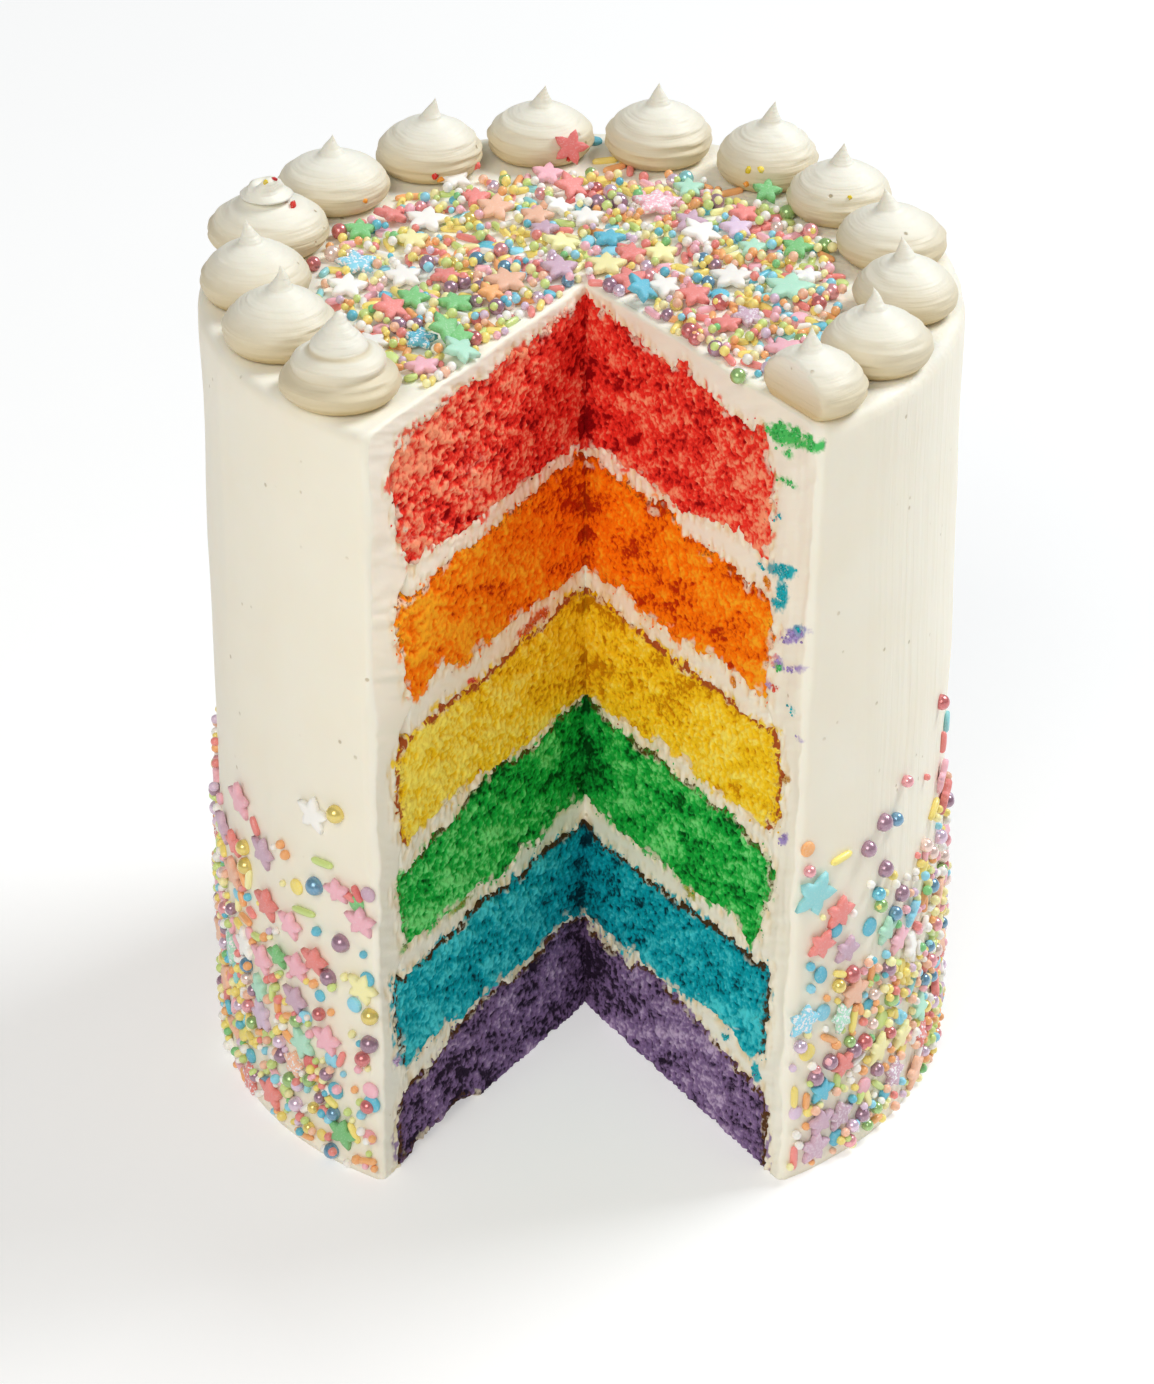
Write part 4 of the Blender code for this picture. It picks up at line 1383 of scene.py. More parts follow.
    def build(self, material: Material) -> Object:
        """Stitches outside, arch, inner wall and underside into one closed skin.

        Args:
            material: Its finish.

        Returns:
            The piece.
        """
        skin = Skin("buttercream_coat")
        rows = np.linspace(0.0, self.length, int(self.length / self.cell))
        left, right = (self.arch(skin, sign, rows) for sign in (-1.0, 1.0))
        inset, tip = 1.6 / ICING_RADIUS, self.tip_rows
        outside = self.outside(skin, inset)
        skin.strip(left[:-tip, -1], outside[0])
        skin.strip(outside[-1], right[:-tip, -1])
        round_tip = np.concatenate([left[-tip - 1:, -1], right[-tip - 1:-1, -1][::-1]])
        skin.strip(outside[:, -1], round_tip)
        wall = self.inside(skin, inset * 1.3)
        inner = int(np.searchsorted(rows, self.wall))
        skin.strip(wall[0], left[:inner, 0])
        skin.strip(right[:inner, 0], wall[-1])
        under_left, under_right = left[inner - 1:-1, 0], right[inner - 1:-1, 0]
        skin.strip(wall[:, -1], np.concatenate([under_left, [left[-1, 0]], under_right[::-1]]))
        skin.strip(outside[:, 0], wall[:, 0])
        skin.strip(np.array([wall[0, 0], outside[0, 0]]), left[0])
        skin.strip(right[0], np.array([wall[-1, 0], outside[-1, 0]]))
        return settle(skin.finish(material), "buttercream", "icing_coat")


# ---- the dollops


class Piping(Enum):
    """How a dollop came out."""

    PLAIN = "plain"
    RINGED = "ringed"
    TORN = "torn"
    SLICED = "sliced"


@dataclass
class Dollop:
    """One piped kiss: a round bulb that narrows to a slender, leaning point.

    It stands in one of the places on a ring, clockwise from the first, and off_x and
    off_y are how far it was set off it.
    """

    index: int
    radius: float
    off_x: float
    off_y: float
    lean: tuple[float, float]
    style: Piping
    ring: float = 70.0
    places: int = 17
    first: float = 224.5
    around: int = 84
    rows: int = 66
    foot: float = 185.35

    @property
    def spot(self) -> tuple[float, float]:
        """The x and y of its middle."""
        angle = math.radians(self.first - self.index * 360.0 / self.places)
        x, y = self.ring * math.cos(angle), self.ring * math.sin(angle)
        return x + self.off_x, y + AXIS_Y + self.off_y

    def profile(self, height: float) -> Pair:
        """The outline from the point down: bulb and point joined by sixth powers.

        Args:
            height: Its height.

        Returns:
            The radius and the height at evenly spaced places along the outline.
        """
        level = np.concatenate([1 - np.linspace(0, 0.5, 200) ** 1.4, np.linspace(0.62, 0.0, 260)[1:]])
        level = np.unique(level)[::-1]
        widest, dome = 0.21, 0.73
        rise = np.clip((level - widest) / (dome - widest), 0.0, 1.0)
        bulb = (1 - rise**1.8) ** 0.68
        bulb = np.where(level < widest, 1 - 0.17 * (1 - level / widest) ** 2.2, bulb)
        point = 0.52 * np.clip((1 - level) / 0.6, 0.0, 1.0) ** 1.15
        width = (bulb**6 + np.where(level > widest, point, 0.0) ** 6) ** (1 / 6)
        if self.style is Piping.TORN:
            kept = level < 0.7
            neck_level, neck_width = np.array(TORN_NECK).T
            level, width = np.append(neck_level, level[kept]), np.append(neck_width, width[kept])
        if self.style is Piping.RINGED:
            width = smoothed(np.interp(level, *zip(*TIERS))) * ease(1.0, 0.985, level)
        radius = self.radius * width
        step = np.hypot(np.diff(radius), np.diff(level * height))
        length = np.concatenate([[0.0], np.cumsum(step)])
        even = np.linspace(0.0, length[-1], self.rows)
        return np.interp(even, length, radius), np.interp(even, length, level * height)

    def surface(self, height: float) -> Pair:
        """The turned profile with folds, comb lines, a lean and a slight twist.

        Args:
            height: Its height.

        Returns:
            Points (row, column, 3) about the dollop's own foot, and the fold value: painted warm shade low on
            the dollop and in its grooves.
        """
        radius, z = self.profile(height)
        angle = np.linspace(0.0, 2 * math.pi, self.around, endpoint=False)[None, :]
        radius, z = radius[:, None], z[:, None] * np.ones_like(angle)
        level, seed = z / height, 700 + 17 * self.index
        around, arc = 2 * math.pi * 10.0, angle * 10.0
        body = ease(0.02, 0.2, level) * ease(0.97, 0.8, level)
        wobble = 0.035 * waves(arc, z, 16.0, seed, 2, around)
        wobble = wobble + 0.008 * waves(arc, z * 3.0, 9.0, seed + 1, 1, around)
        if self.style is Piping.TORN:
            wobble = wobble + 0.3 * ease(0.74, 0.86, level) * waves(arc, 2.0 * z, 9.0, seed + 5, 2, around)
            z = z + 1.3 * ease(0.8, 0.9, level) * waves(arc, z, 16.0, seed + 6, 1, around)
        comb = 0.014 * waves(arc * 0.18, z, 0.9, seed + 2, 1, around * 0.18) * body
        spiral = np.sin(2 * math.pi * z / 4.4 + angle + seed)
        folds = 0.024 * body * np.abs(spiral) * (1 + waves(arc, z, 14.0, seed + 3, 1, around))
        # Painted warm shade: strong low on the dollop, fading up to the point, and in the grooves of a ringed
        # one.
        fold = 0.8 * ease(0.7, 0.05, level) + 0.35 * ease(0.12, 0.0, level)
        if self.style is Piping.RINGED:
            for groove in (0.335, 0.56):
                fold = np.maximum(fold, 0.6 * ease(0.045, 0.0, np.abs(level - groove)))
        width = radius * (1 + wobble * ease(1.0, 0.7, level) + comb - folds)
        bend = np.clip(level, 0.0, 1.0) ** 2.2
        hook = ease(0.86, 1.0, level)
        turn = angle + 0.5 * level
        side = 0.35 * waves(np.full_like(z, float(seed)), z, 3.0, seed + 4) * ease(0.6, 1.0, level)
        x = width * np.cos(turn) + bend * self.lean[0] + 0.2 * hook * self.lean[0] + side
        y = width * np.sin(turn) + bend * self.lean[1]
        return np.stack([x, y, z], -1), fold

    @property
    def node(self) -> str:
        """The CAD node that this dollop stands for."""
        return f"dollop_{self.index + 1:02d}"

    def stand(self) -> Pair:
        """Its surface where it stands on the cake, as tall as its node.

        Returns:
            Points (row, column, 3) and the fold value, its painted warm shade.
        """
        low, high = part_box(self.node)
        points, fold = self.surface(float(high[2] - low[2]) / MM - 0.05)
        points = points + np.array([*self.spot, self.foot])
        return self.slice(points) if self.style is Piping.SLICED else points, fold

    def touch(self, degrees: float, share: float) -> Array:
        """The point of its surface in a direction, a share of the way down from its tip."""
        points, _ = self.stand()
        return points[round(share * (self.rows - 1)), round(degrees / 360.0 * self.around) % self.around]

    def slice(self, points: Array) -> Array:
        """Presses what passes the right cut face onto it, with a rounded edge.

        Args:
            points: Points (..., 3).

        Returns:
            The pressed points.
        """
        normal = np.array([-math.cos(CUT.half), -math.sin(CUT.half), 0.0])
        past = (points - np.array([*CUT.tip, 0.0])) @ normal + 0.3
        return points - (0.7 * np.logaddexp(0.0, past / 0.7))[..., None] * normal

    def build(self, material: Material) -> Object:
        """Makes the piece, with a pole at the point and one under the foot.

        Args:
            material: Its finish.

        Returns:
            The piece.
        """
        points, fold = self.stand()
        skin = Skin(f"piped_{self.node}")
        numbers = skin.add(points[1:], fold=fold[1:], stain=np.zeros((*fold[1:].shape, 4)))
        skin.grid(np.concatenate([numbers, numbers[:, :1]], axis=1))
        tip = skin.add(points[:1].mean(axis=1), fold=fold[:1, 0])
        foot = skin.add(points[-1:].mean(axis=1), fold=fold[-1:, 0])
        for pole, ring in ((tip, numbers[0]), (foot, numbers[-1])):
            loop = np.concatenate([ring, ring[:1]])
            skin.triangles.append(np.stack([loop[:-1], loop[1:], np.full(len(ring), pole[0])], -1))
        return settle(skin.finish(material), "piped_buttercream", self.node)


TORN_NECK = line("0.86 0, 0.87 0.06, 0.92 0.12, 0.93 0.2, 0.89 0.28, 0.81 0.33, 0.72 0.45")
TIERS = line(
    "0 0.84, 0.06 0.93, 0.13 0.985, 0.21 0.98, 0.28 0.89, 0.325 0.775, 0.35 0.76, 0.4 0.785, "
    "0.46 0.75, 0.515 0.63, 0.55 0.5, 0.58 0.475, 0.63 0.45, 0.7 0.37, 0.78 0.27, 0.86 0.175, "
    "0.93 0.1, 1 0.05"
)
DOLLOPS = tuple(
    Dollop(index, radius, off_x, off_y, (lean_x, lean_y), Piping[style.upper()])
    for index, ((style,), (radius, off_x, off_y, lean_x, lean_y)) in enumerate(entries(
        "ringed 12.8 -0.9 -0.3 -0.2 0.2; plain 11.9 0.6 1.4 0.8 0.4; plain 11.8 0.4 0 -1.4 0.7; "
        "torn 13.2 -1 0 -0.5 0.2; plain 12.5 -0.2 0 0.1 0; plain 12 1.3 0.5 1 0.3; "
        "plain 12 1.5 0 1.1 -0.2; plain 12.4 2.3 -0.3 0.3 0.3; plain 11.6 2.7 -2.3 1.5 0.2; "
        "plain 11.6 -0.4 -2.9 0.4 0.3; plain 12.2 -1 -1.9 -1.3 0.2; plain 11.4 -1.1 -2.6 -0.8 0.4; "
        "plain 11.6 -0.7 -2.6 -1 0.3; sliced 11.6 1 -1.2 0 0.3"
    ))
)


# ---- the sprinkles


class Field(Enum):
    """Where a sprinkle lies."""

    TOP = "top"
    SIDE = "side"


class Kind(Enum):
    """The shapes of sprinkle, from the largest to the smallest."""

    STAR = "stars"
    ROD = "rods"
    DISC = "discs"
    PEARL = "pearls"
    BEAD = "beads"


TINTS = tones(
    "red 224 60 52; coral 242 114 104; peach 252 188 150; orange 252 166 66; yellow 252 226 88; "
    "lemon 253 243 164; lime 204 228 112; green 94 196 96; mint 170 230 200; aqua 124 212 216; "
    "cyan 0 184 214; sky 120 214 240; mauve 202 160 184; pink 252 178 194; white 252 248 240; "
    "lilac 222 192 220; plum 150 92 126; teal 40 136 178; ruby 206 58 62; gold 234 206 56; leaf 140 192 80; "
    "rose 238 144 154; shell 244 212 200"
)


@dataclass(frozen=True)
class Strewn:
    """How many of a kind are strewn on the top and on the side, and between which sizes.

    tints says how many of each colour there are, in parts of their sum.
    """

    top: int
    side: int
    low: float
    high: float
    tints: str


STREWN = {
    Kind.STAR: Strewn(
        14, 85, 7.0, 9.2,
        "white 22; coral 12; pink 14; mauve 10; green 6; cyan 3; mint 7; lemon 9; peach 11; lilac 6",
    ),
    Kind.ROD: Strewn(
        270, 300, 3.2, 6.6, "yellow 24; lime 14; coral 16; orange 16; pink 10; white 10; aqua 4; lemon 8"
    ),
    Kind.DISC: Strewn(
        170, 150, 2.8, 4.2, "cyan 14; yellow 20; pink 16; sky 12; white 18; lime 12; coral 8"
    ),
    Kind.PEARL: Strewn(
        170, 260, 2.7, 3.7, "plum 14; teal 6; ruby 10; gold 14; leaf 14; lilac 16; rose 12; shell 14"
    ),
    Kind.BEAD: Strewn(
        760, 1400, 1.5, 2.5,
        "yellow 20; orange 13; coral 9; lime 13; green 4; sky 7; pink 9; lemon 17; white 22; lilac 5; "
        "cyan 5; peach 12",
    ),
}


@dataclass(frozen=True)
class Placed:
    """One sprinkle.

    a and b are x and y on the top, or the degrees round from the front and the height on
    the side. A glitter of 1 gives it sugar crystals.
    """

    kind: Kind
    tint: str
    a: float
    b: float
    size: float
    turn: float = 0.0
    tilt: float = 0.0
    glitter: float = 0.0
    lift: float = 0.0


def by_hand(rows: dict[Kind, str]) -> tuple[Placed, ...]:
    """Sprinkles from entries of tint, a, b, size and, where given, turn to lift."""
    found = ((kind, *entry) for kind, row in rows.items() for entry in entries(row))
    return tuple(Placed(kind, words[0], *numbers) for kind, words, numbers in found)


TOP_BY_HAND = by_hand({
    Kind.STAR: """
red -0.8 51.8 8.4 4 60 0 2.4; cyan 6.5 14.5 7.6 5; mauve -4.5 -2 8.6 25 14;
pink 17.5 30.5 11.5 14 4 1 0.6; green 42 34 7 10 26 0 0.6; green 47 7.5 7.4 0 12;
green -47.5 19 7.6 20 12; sky -48 2.5 9.6 30 8 1; cyan 12.5 -15.5 8 70 38 0 0.8;
coral 10.5 -7.5 9.2 40 10; lemon 5.5 0.5 9.4 15 5; peach -16 -7 10 33 6; orange -19.5 -13.2 6.4 60 20;
green -36 -15.5 7.6 5 16; coral -40.5 -21 8.2 50 24; green -29 -33 8.6 60 34 0 0.8;
mint -26 -40.5 8.8 70 22; cyan -34.5 -34 7.8 12 8 0.8; mint 44 -12.5 11.5 5 6; white 32 -6.5 10 15 6;
white 26.5 14 10 60 18 0.3 0.6; coral 30 -28.5 7 20 5; mauve 34.5 -26 7.6 50 12 0.5;
white -33 24 10.4 8 6; white -27 45 9 44 12; peach -18 28.5 8.8 10 18; coral -1 39 8.4 50 30;
mauve 24.5 20 7.8 0 20; lilac 34.5 17.5 8 30 14; mint 37.5 8 7.2 10 8; mint 25 38.5 7.4 20 10;
coral 36.5 25 7.2 42 10; lemon 17.5 6 8 25 8; coral 11 5.5 7.4 12 12; white -38 -4 9.2 31 8;
white 17.5 -11.5 8.6 50 16; peach -9 25.5 8 5 8; coral -22 35 7 25 10; green -26.5 -34.5 7.4 10 20;
white -50 -9 9.4 12 8; lemon -36 13.5 7.6 30 12; white 2 25 8.4 20 5; pink -6 47 7.8 10 14
""",
    Kind.ROD: """
yellow 1.6 70.5 5 60; orange 9 53 6 30; yellow 7 57 6 12; coral 12.5 52 6 85; yellow 11 56.5 5.5 85;
cyan -36.5 18.5 6.5 20; cyan 38.5 -4 8 50; sky 42 -23 5 10; red 0.5 38 8 45; lime -13 -8 7 130
""",
    Kind.DISC: """
cyan 5 68 3.6; lime 49 41.5 2.6; sky 26 24 4; cyan -20 13.5 4.6; sky -13.5 -1 4; yellow 35.5 -16 4.2
""",
    Kind.PEARL: """
plum 4.6 33 3.6; plum 9.6 33 3.6; lilac 21.8 43.5 3.4; aqua 24.6 44.5 3.6; leaf 46 26 3.6;
rose 50.5 17 3.6; leaf 53.2 9 3.6; ruby 50 -19 3.4; rose 53 -13.5 3.6; ruby -57.4 3 3.4;
shell -53.4 8.5 3.6; ruby -52 19.5 3.6; plum -39 -27.5 3.8; ruby -23 -33.5 3.2; leaf 31 -52.5 3.4;
plum 27 -40 3.6; plum 6 -9 3.4; teal 26.5 2.5 3.6; teal 27 -8 3; plum -28 -9.5 3.4; plum -25.2 -6.5 3.4;
plum -21.8 -9.5 3.4
""",
})
SIDE_BY_HAND = by_hand({
    Kind.STAR: """
aqua 35.9 72.5 11.6 -8 6; coral 41 65 8.6 6 6; coral 37.4 59 7.8 -10 8; mauve 42.6 54.5 7.4 0 10;
sky 34.2 41 8.8 6 6 1; cyan 38.2 20.5 7 8 6; mauve 42.4 11 8 20 6 0.4; mauve 37 6 8.6 10 6 0.2;
mint 52.6 52.5 7.4 15 8; peach 44.8 42 9 10 6; lemon 51.5 22 9 5 8; sky 61 50.5 7.2 30 16;
peach 64 5.5 9 20 8; pink 56.5 47 8 12 8; lemon 58.5 20 8.2 0 10; white -45.5 89 9.4 12 3;
mauve -59 70 8.8 4 6; pink -40.8 72.5 7 25 14; coral -58.4 57 8.8 12 8; pink -52 56.5 8 6 8;
peach -70 56 9 20 8; pink -34.2 67 8.4 16 8; coral -46.2 51.2 8 8 10; pink -50.4 46.6 8 18 8;
green -55.2 46 6.6 20 14; lemon -36 50 8.6 0 5; pink -60.5 41 8.8 8 6; mauve -51 38 8.2 0 8;
pink -44 32 8.6 10 6; green -41.2 9 8.6 5 6; coral -58.6 7 9 15 6; coral -69.5 64 7 30 10;
pink -66.5 77.5 9.5 20 8; mauve -76 63 8.6 10 8; pink 74.5 75 8.6 20 10; coral 77 67 8.6 0 10
""",
    Kind.ROD: """
yellow 41.2 78.6 6.2 5; orange 49 43 5.6 80; orange 35.2 19.4 4.2 85; coral 33.1 5.4 6.2 88;
yellow 45 34.4 6.6 80; lime 41.6 20 5.4 85; coral 76 82 5 70; lime -44 77.6 6.4 5;
coral -39.2 72.4 5.4 160; red -37.2 73.6 4.2 120; lime -48.6 62.2 7.6 10; yellow -39 10.4 5.4 120;
orange -50 2.6 6.4 5; teal -61 8.6 5.4 25; lime -56 40.4 6 40; red -37.4 66.8 5 150;
coral -41.2 28.6 4.6 70
""",
    Kind.DISC: """
orange 34.4 84.6 3.6; cyan 40.4 60.8 3.6; cyan 48.2 56.4 4.4; cyan 48.6 35 4.2; cyan 41.9 5.2 4.2;
cyan 54 8.2 4; yellow 35.2 32.2 4.2; lilac 33.2 17.4 3.4; lime 52.4 29 4.6; aqua 80 84 5;
green -37.4 71 3.8; mauve -35 74.4 3.6; yellow -50.2 67.4 3.8; cyan -35.7 52.6 3.6; sky -38.3 44.6 3.8;
cyan -45.5 42.4 2.8; sky -43.2 27.2 4; red -48 22.8 4.4; cyan -42.6 19.4 4.2; pink -35.6 23.6 4;
cyan -33.9 20.2 4.2; lime -60.2 20.4 3.8; rose -36 11 3.6
""",
    Kind.PEARL: """
plum 51.2 81 4.2; plum 47.3 77 3.8; plum 52 68.6 4; rose 57.4 87 2.8; teal 54.2 79.8 3.2;
cyan 50 63.8 3.2; teal 54.8 55.2 3.4; ruby 44.2 47 4.2; ruby 47.8 26.6 4; plum 45.2 26.4 3.8;
plum 39.8 27 3.8; plum 36.9 24.6 4; leaf 54.8 32.8 3.8; plum 53.6 41.6 4; plum 57.2 58.4 4;
rose 37 26.6 2.2; ruby 71.5 96 3.6; gold -41 91.6 4.2; teal -45.8 70.6 4.4; gold -65.2 61.6 4;
plum -40.6 59.2 4.4; plum -43.4 48.6 4; gold -35.2 43.2 4; plum -35.6 35.8 4.2; ruby -36 19.4 3.4;
leaf -53 15 3.8; teal -43.6 2.8 3.8; rose -66 24 3.2; plum -55 20 3.8; teal -66 35 3.6
""",
    Kind.BEAD: """
cyan 35.4 54.4 2.2; orange -53.6 76 2.2; orange -52.4 74.2 2.4; cyan -45.6 59.2 2.4; cyan -36.2 58.8 1.9
""",
})


@dataclass
class Sprinkles:
    """All the sprinkles: those listed one by one, and more strewn between them by kind.

    whiten is the share of white in every tint, as sugar has, and shade how far each one
    may be darker or lighter. glitter is the share of strewn stars with sugar crystals.
    A bead rests on others whose half widths lie between low_half and high_half.
    """

    rng: np.random.Generator = field(default_factory=lambda: np.random.default_rng(11))
    whiten: float = 0.15
    white: float = 0.96
    shade: float = 0.07
    glitter: float = 0.16
    top_radius: float = 58.0
    nesting: float = 0.86
    low_half: float = 1.4
    high_half: float = 2.0

    def spread(self, where: Field, count: int) -> Pair:
        """Random places with the cake's density: full on the top, thinning up the side.

        Args:
            where: The top or the side.
            count: The most that are wanted.

        Returns:
            The two coordinates of each place, a and b.
        """
        if where is Field.TOP:
            x, y = self.rng.uniform(-60, 60, (2, 4 * count))
            from_axis = np.hypot(x, y - AXIS_Y)
            dense = ease(self.top_radius + 1.5, self.top_radius - 7.0, from_axis)
            keep = self.rng.uniform(0, 1, 4 * count) < dense
            return x[keep][:count], y[keep][:count]
        angle, z = self.rng.uniform(-180, 180, 6 * count), self.rng.uniform(1.0, 92.0, 6 * count)
        arc, off = np.radians(angle) * ICING_RADIUS, np.abs(angle)
        high = 66.0 + 9.0 * waves(arc, np.zeros_like(arc), 40.0, 91, 2, ROUND_TRIP)
        high = high + 10.0 * ease(45.0, 70.0, off) - 6.0 * ease(48.0, 36.0, off)
        dense = ease(high, high * 0.45, z) ** 1.3 + 0.03 * ease(90.0, 60.0, z)
        patchy = 0.72 + 0.5 * waves(arc, z, 11.0, 92, 2, ROUND_TRIP)
        patchy = patchy * (1 - 0.55 * ease(52.0, 40.0, off))
        keep = self.rng.uniform(0, 1, 6 * count) < dense * np.clip(patchy, 0.1, 1.0)
        return angle[keep][:count], z[keep][:count]

    def flat(self, where: Field, a: Array, b: Array) -> Pair:
        """The place in millimetres on the surface laid flat."""
        return (a, b) if where is Field.TOP else (np.radians(a) * ICING_RADIUS, b)

    def allowed(self, where: Field, a: Array, b: Array, half: Array) -> Array:
        """Whether sprinkles are clear of the cut faces and, on the top, of the dollops.

        Args:
            where: The top or the side.
            a, b: Their places.
            half: Half their widths.

        Returns:
            True for each one that is clear.
        """
        if where is Field.TOP:
            off_x, off_y, z = a - CUT.tip[0], b - CUT.tip[1], ICING_HEIGHT
        else:
            off_x, z = ICING_RADIUS * np.sin(np.radians(a)) - CUT.tip[0], b
            off_y = AXIS_Y - ICING_RADIUS * np.cos(np.radians(a)) - CUT.tip[1]
        face = CUT.turned(off_x, z)
        behind = np.abs(off_x) * np.cos(face) + off_y * np.sin(face)
        fine = behind > 0.75 * half + 0.5
        if where is Field.SIDE:
            return fine & (b > 0.6 + 0.8 * half)
        for dollop in DOLLOPS:
            gap = np.hypot(a - dollop.spot[0], b - dollop.spot[1])
            fine &= gap > dollop.radius - 0.2 + 0.4 * half
        return fine

    def gather(self, where: Field) -> list[Placed]:
        """Listed sprinkles first, then strewn ones from the largest kind to the smallest.

        A strewn one is left out where it would lie in another of its size, but a bead may
        rest on a star or a disc.

        Args:
            where: The top or the side.

        Returns:
            The sprinkles.
        """
        on_top = where is Field.TOP
        placed = list(TOP_BY_HAND if on_top else SIDE_BY_HAND)
        xs, ys = self.flat(where, np.array([p.a for p in placed]), np.array([p.b for p in placed]))
        halves = np.array([(0.3 if p.kind is Kind.ROD else 0.42) * p.size for p in placed])
        for kind, strewn in STREWN.items():
            amount = strewn.top if on_top else strewn.side
            a, b = self.spread(where, amount * 4)
            size = self.rng.uniform(strewn.low, strewn.high, len(a))
            half = {Kind.ROD: 0.3, Kind.STAR: 0.42}.get(kind, 0.5) * size
            fine = self.allowed(where, a, b, half)
            names, parts = zip(*((words[0], numbers[0]) for words, numbers in entries(strewn.tints)))
            tints = self.rng.choice(len(names), len(a), p=np.array(parts) / sum(parts))
            turns, tilts = self.rng.uniform(0, 360, len(a)), np.abs(self.rng.normal(0, 11, len(a)))
            glitter = np.zeros(len(a))
            if kind is Kind.STAR:
                glitter = (self.rng.uniform(0, 1, len(a)) < self.glitter).astype(float)
            flat_x, flat_y = self.flat(where, a, b)
            full = len(placed) + amount
            for i in np.flatnonzero(fine):
                if len(placed) >= full:
                    break
                reach = (halves + half[i]) * self.nesting
                touched = halves[np.hypot(xs - flat_x[i], ys - flat_y[i]) - reach < 0]
                on_others = len(touched) > 0
                if on_others and (kind is not Kind.BEAD or self.blocked(touched)):
                    continue
                lift = 1.5 if on_others else 0.0
                looks = size[i], turns[i], tilts[i], glitter[i], lift
                placed.append(Placed(kind, names[tints[i]], a[i], b[i], *looks))
                xs, ys = np.append(xs, flat_x[i]), np.append(ys, flat_y[i])
                halves = np.append(halves, half[i])
        return placed

    def blocked(self, touched: Array) -> bool:
        """Whether a bead can't rest on sprinkles of these half widths."""
        return touched.min() < self.low_half or touched.max() > self.high_half

    @staticmethod
    def turned(radii: Array, heights: Array, outline: Array) -> Pair:
        """A unit solid from a profile and an outline: point = (r o cos, r o sin, h), with poles.

        Args:
            radii, heights: The profile, with radius 0 at both ends.
            outline: Factors on the radii, round the solid.

        Returns:
            Its points and triangles.
        """
        around, rings = len(outline), len(radii) - 2
        angle = np.arange(around) * 2 * math.pi / around
        ring = np.stack([outline * np.cos(angle), outline * np.sin(angle)], -1)
        level = np.broadcast_to(heights[1:-1, None, None], (rings, around, 1))
        body = np.concatenate([radii[1:-1, None, None] * ring[None], level], -1).reshape(-1, 3)
        points = np.concatenate([[[0, 0, heights[0]]], body, [[0, 0, heights[-1]]]])
        row = 1 + np.arange(rings)[:, None] * around + np.arange(around + 1)[None, :] % around
        first = np.stack([row[0, 1:], row[0, :-1], np.zeros(around, int)], -1)
        last = np.stack([row[-1, :-1], row[-1, 1:], np.full(around, len(points) - 1)], -1)
        return points, np.concatenate([cells(row), first, last])

    def shape(self, kind: Kind) -> Pair:
        """The unit shape of a kind, one across, or one long for a rod that lies along x.

        Args:
            kind: The kind.

        Returns:
            Its points and triangles.
        """
        if kind is Kind.STAR:
            around, arms = 20, 5
            step = np.arange(around) * arms / around
            share = np.abs(step % 1.0 - 0.5) * 2
            radii, heights = np.array(STAR_SIDE).T
            return self.turned(radii, heights, 0.25 + 0.25 * share**1.15)
        if kind is Kind.DISC:
            radii, heights = np.array(DISC_SIDE).T
            return self.turned(radii * 0.5, heights, np.ones(14))
        around, rings = {Kind.BEAD: (8, 6), Kind.ROD: (8, 9)}.get(kind, (16, 10))
        points, triangles = self.ball(around, rings)
        if kind is Kind.ROD:
            middle = np.sign(points[:, 2]) * np.minimum(np.abs(points[:, 2]) * 2, 1.0) ** 0.8 * 0.5
            width = np.sqrt(np.clip(1 - (2 * np.abs(middle)) ** 5, 0.0, 1.0))
            spread = np.hypot(points[:, 0], points[:, 1])
            share = np.divide(width * 0.5, spread, out=np.zeros_like(spread), where=spread > 1e-6)
            points = np.stack([middle, points[:, 0] * share, points[:, 1] * share], -1)
        return points, triangles

    @classmethod
    def ball(cls, around: int, rings: int) -> Pair:
        """The points and triangles of a ball, one across."""
        turn = np.linspace(-0.5 * math.pi, 0.5 * math.pi, rings)
        return cls.turned(0.5 * np.cos(turn), 0.5 * np.sin(turn), np.ones(around))

    def frames(self, where: Field, items: list[Placed], coat: Coat) -> tuple[Array, Array, Array]:
        """Where each sprinkle sits and how it is turned.

        Args:
            where: The top or the side.
            items: The sprinkles.
            coat: The coat that they lie on.

        Returns:
            Places on the surface (n, 3), the direction out of it there (n, 3), and the
            sprinkles' own axes (n, 3, 3) with the outward one last.
        """
        a, b = np.array([item.a for item in items]), np.array([item.b for item in items])
        if where is Field.TOP:
            base = np.stack([a, b, ICING_HEIGHT + coat.top_relief(a, b)], -1)
            right = np.broadcast_to([1.0, 0.0, 0.0], base.shape)
            up = np.broadcast_to([0.0, 1.0, 0.0], base.shape)
        else:
            sine, cosine, none = np.sin(np.radians(a)), np.cos(np.radians(a)), np.zeros_like(a)
            x, y = ICING_RADIUS * sine, AXIS_Y - ICING_RADIUS * cosine
            radius = ICING_RADIUS + coat.side_relief(x, y, b)
            base = np.stack([radius * sine, AXIS_Y - radius * cosine, b], -1)
            right = np.stack([cosine, sine, none], -1)
            up = np.broadcast_to([0.0, 0.0, 1.0], base.shape)
        out = np.cross(right, up)
        turn = np.radians([item.turn for item in items])[:, None]
        tilt = np.radians([item.tilt for item in items])[:, None]
        first = right * np.cos(turn) + up * np.sin(turn)
        second = np.cross(out, first)
        third = out * np.cos(tilt) - second * np.sin(tilt)
        return base, out, np.stack([first, np.cross(third, first), third], -2)

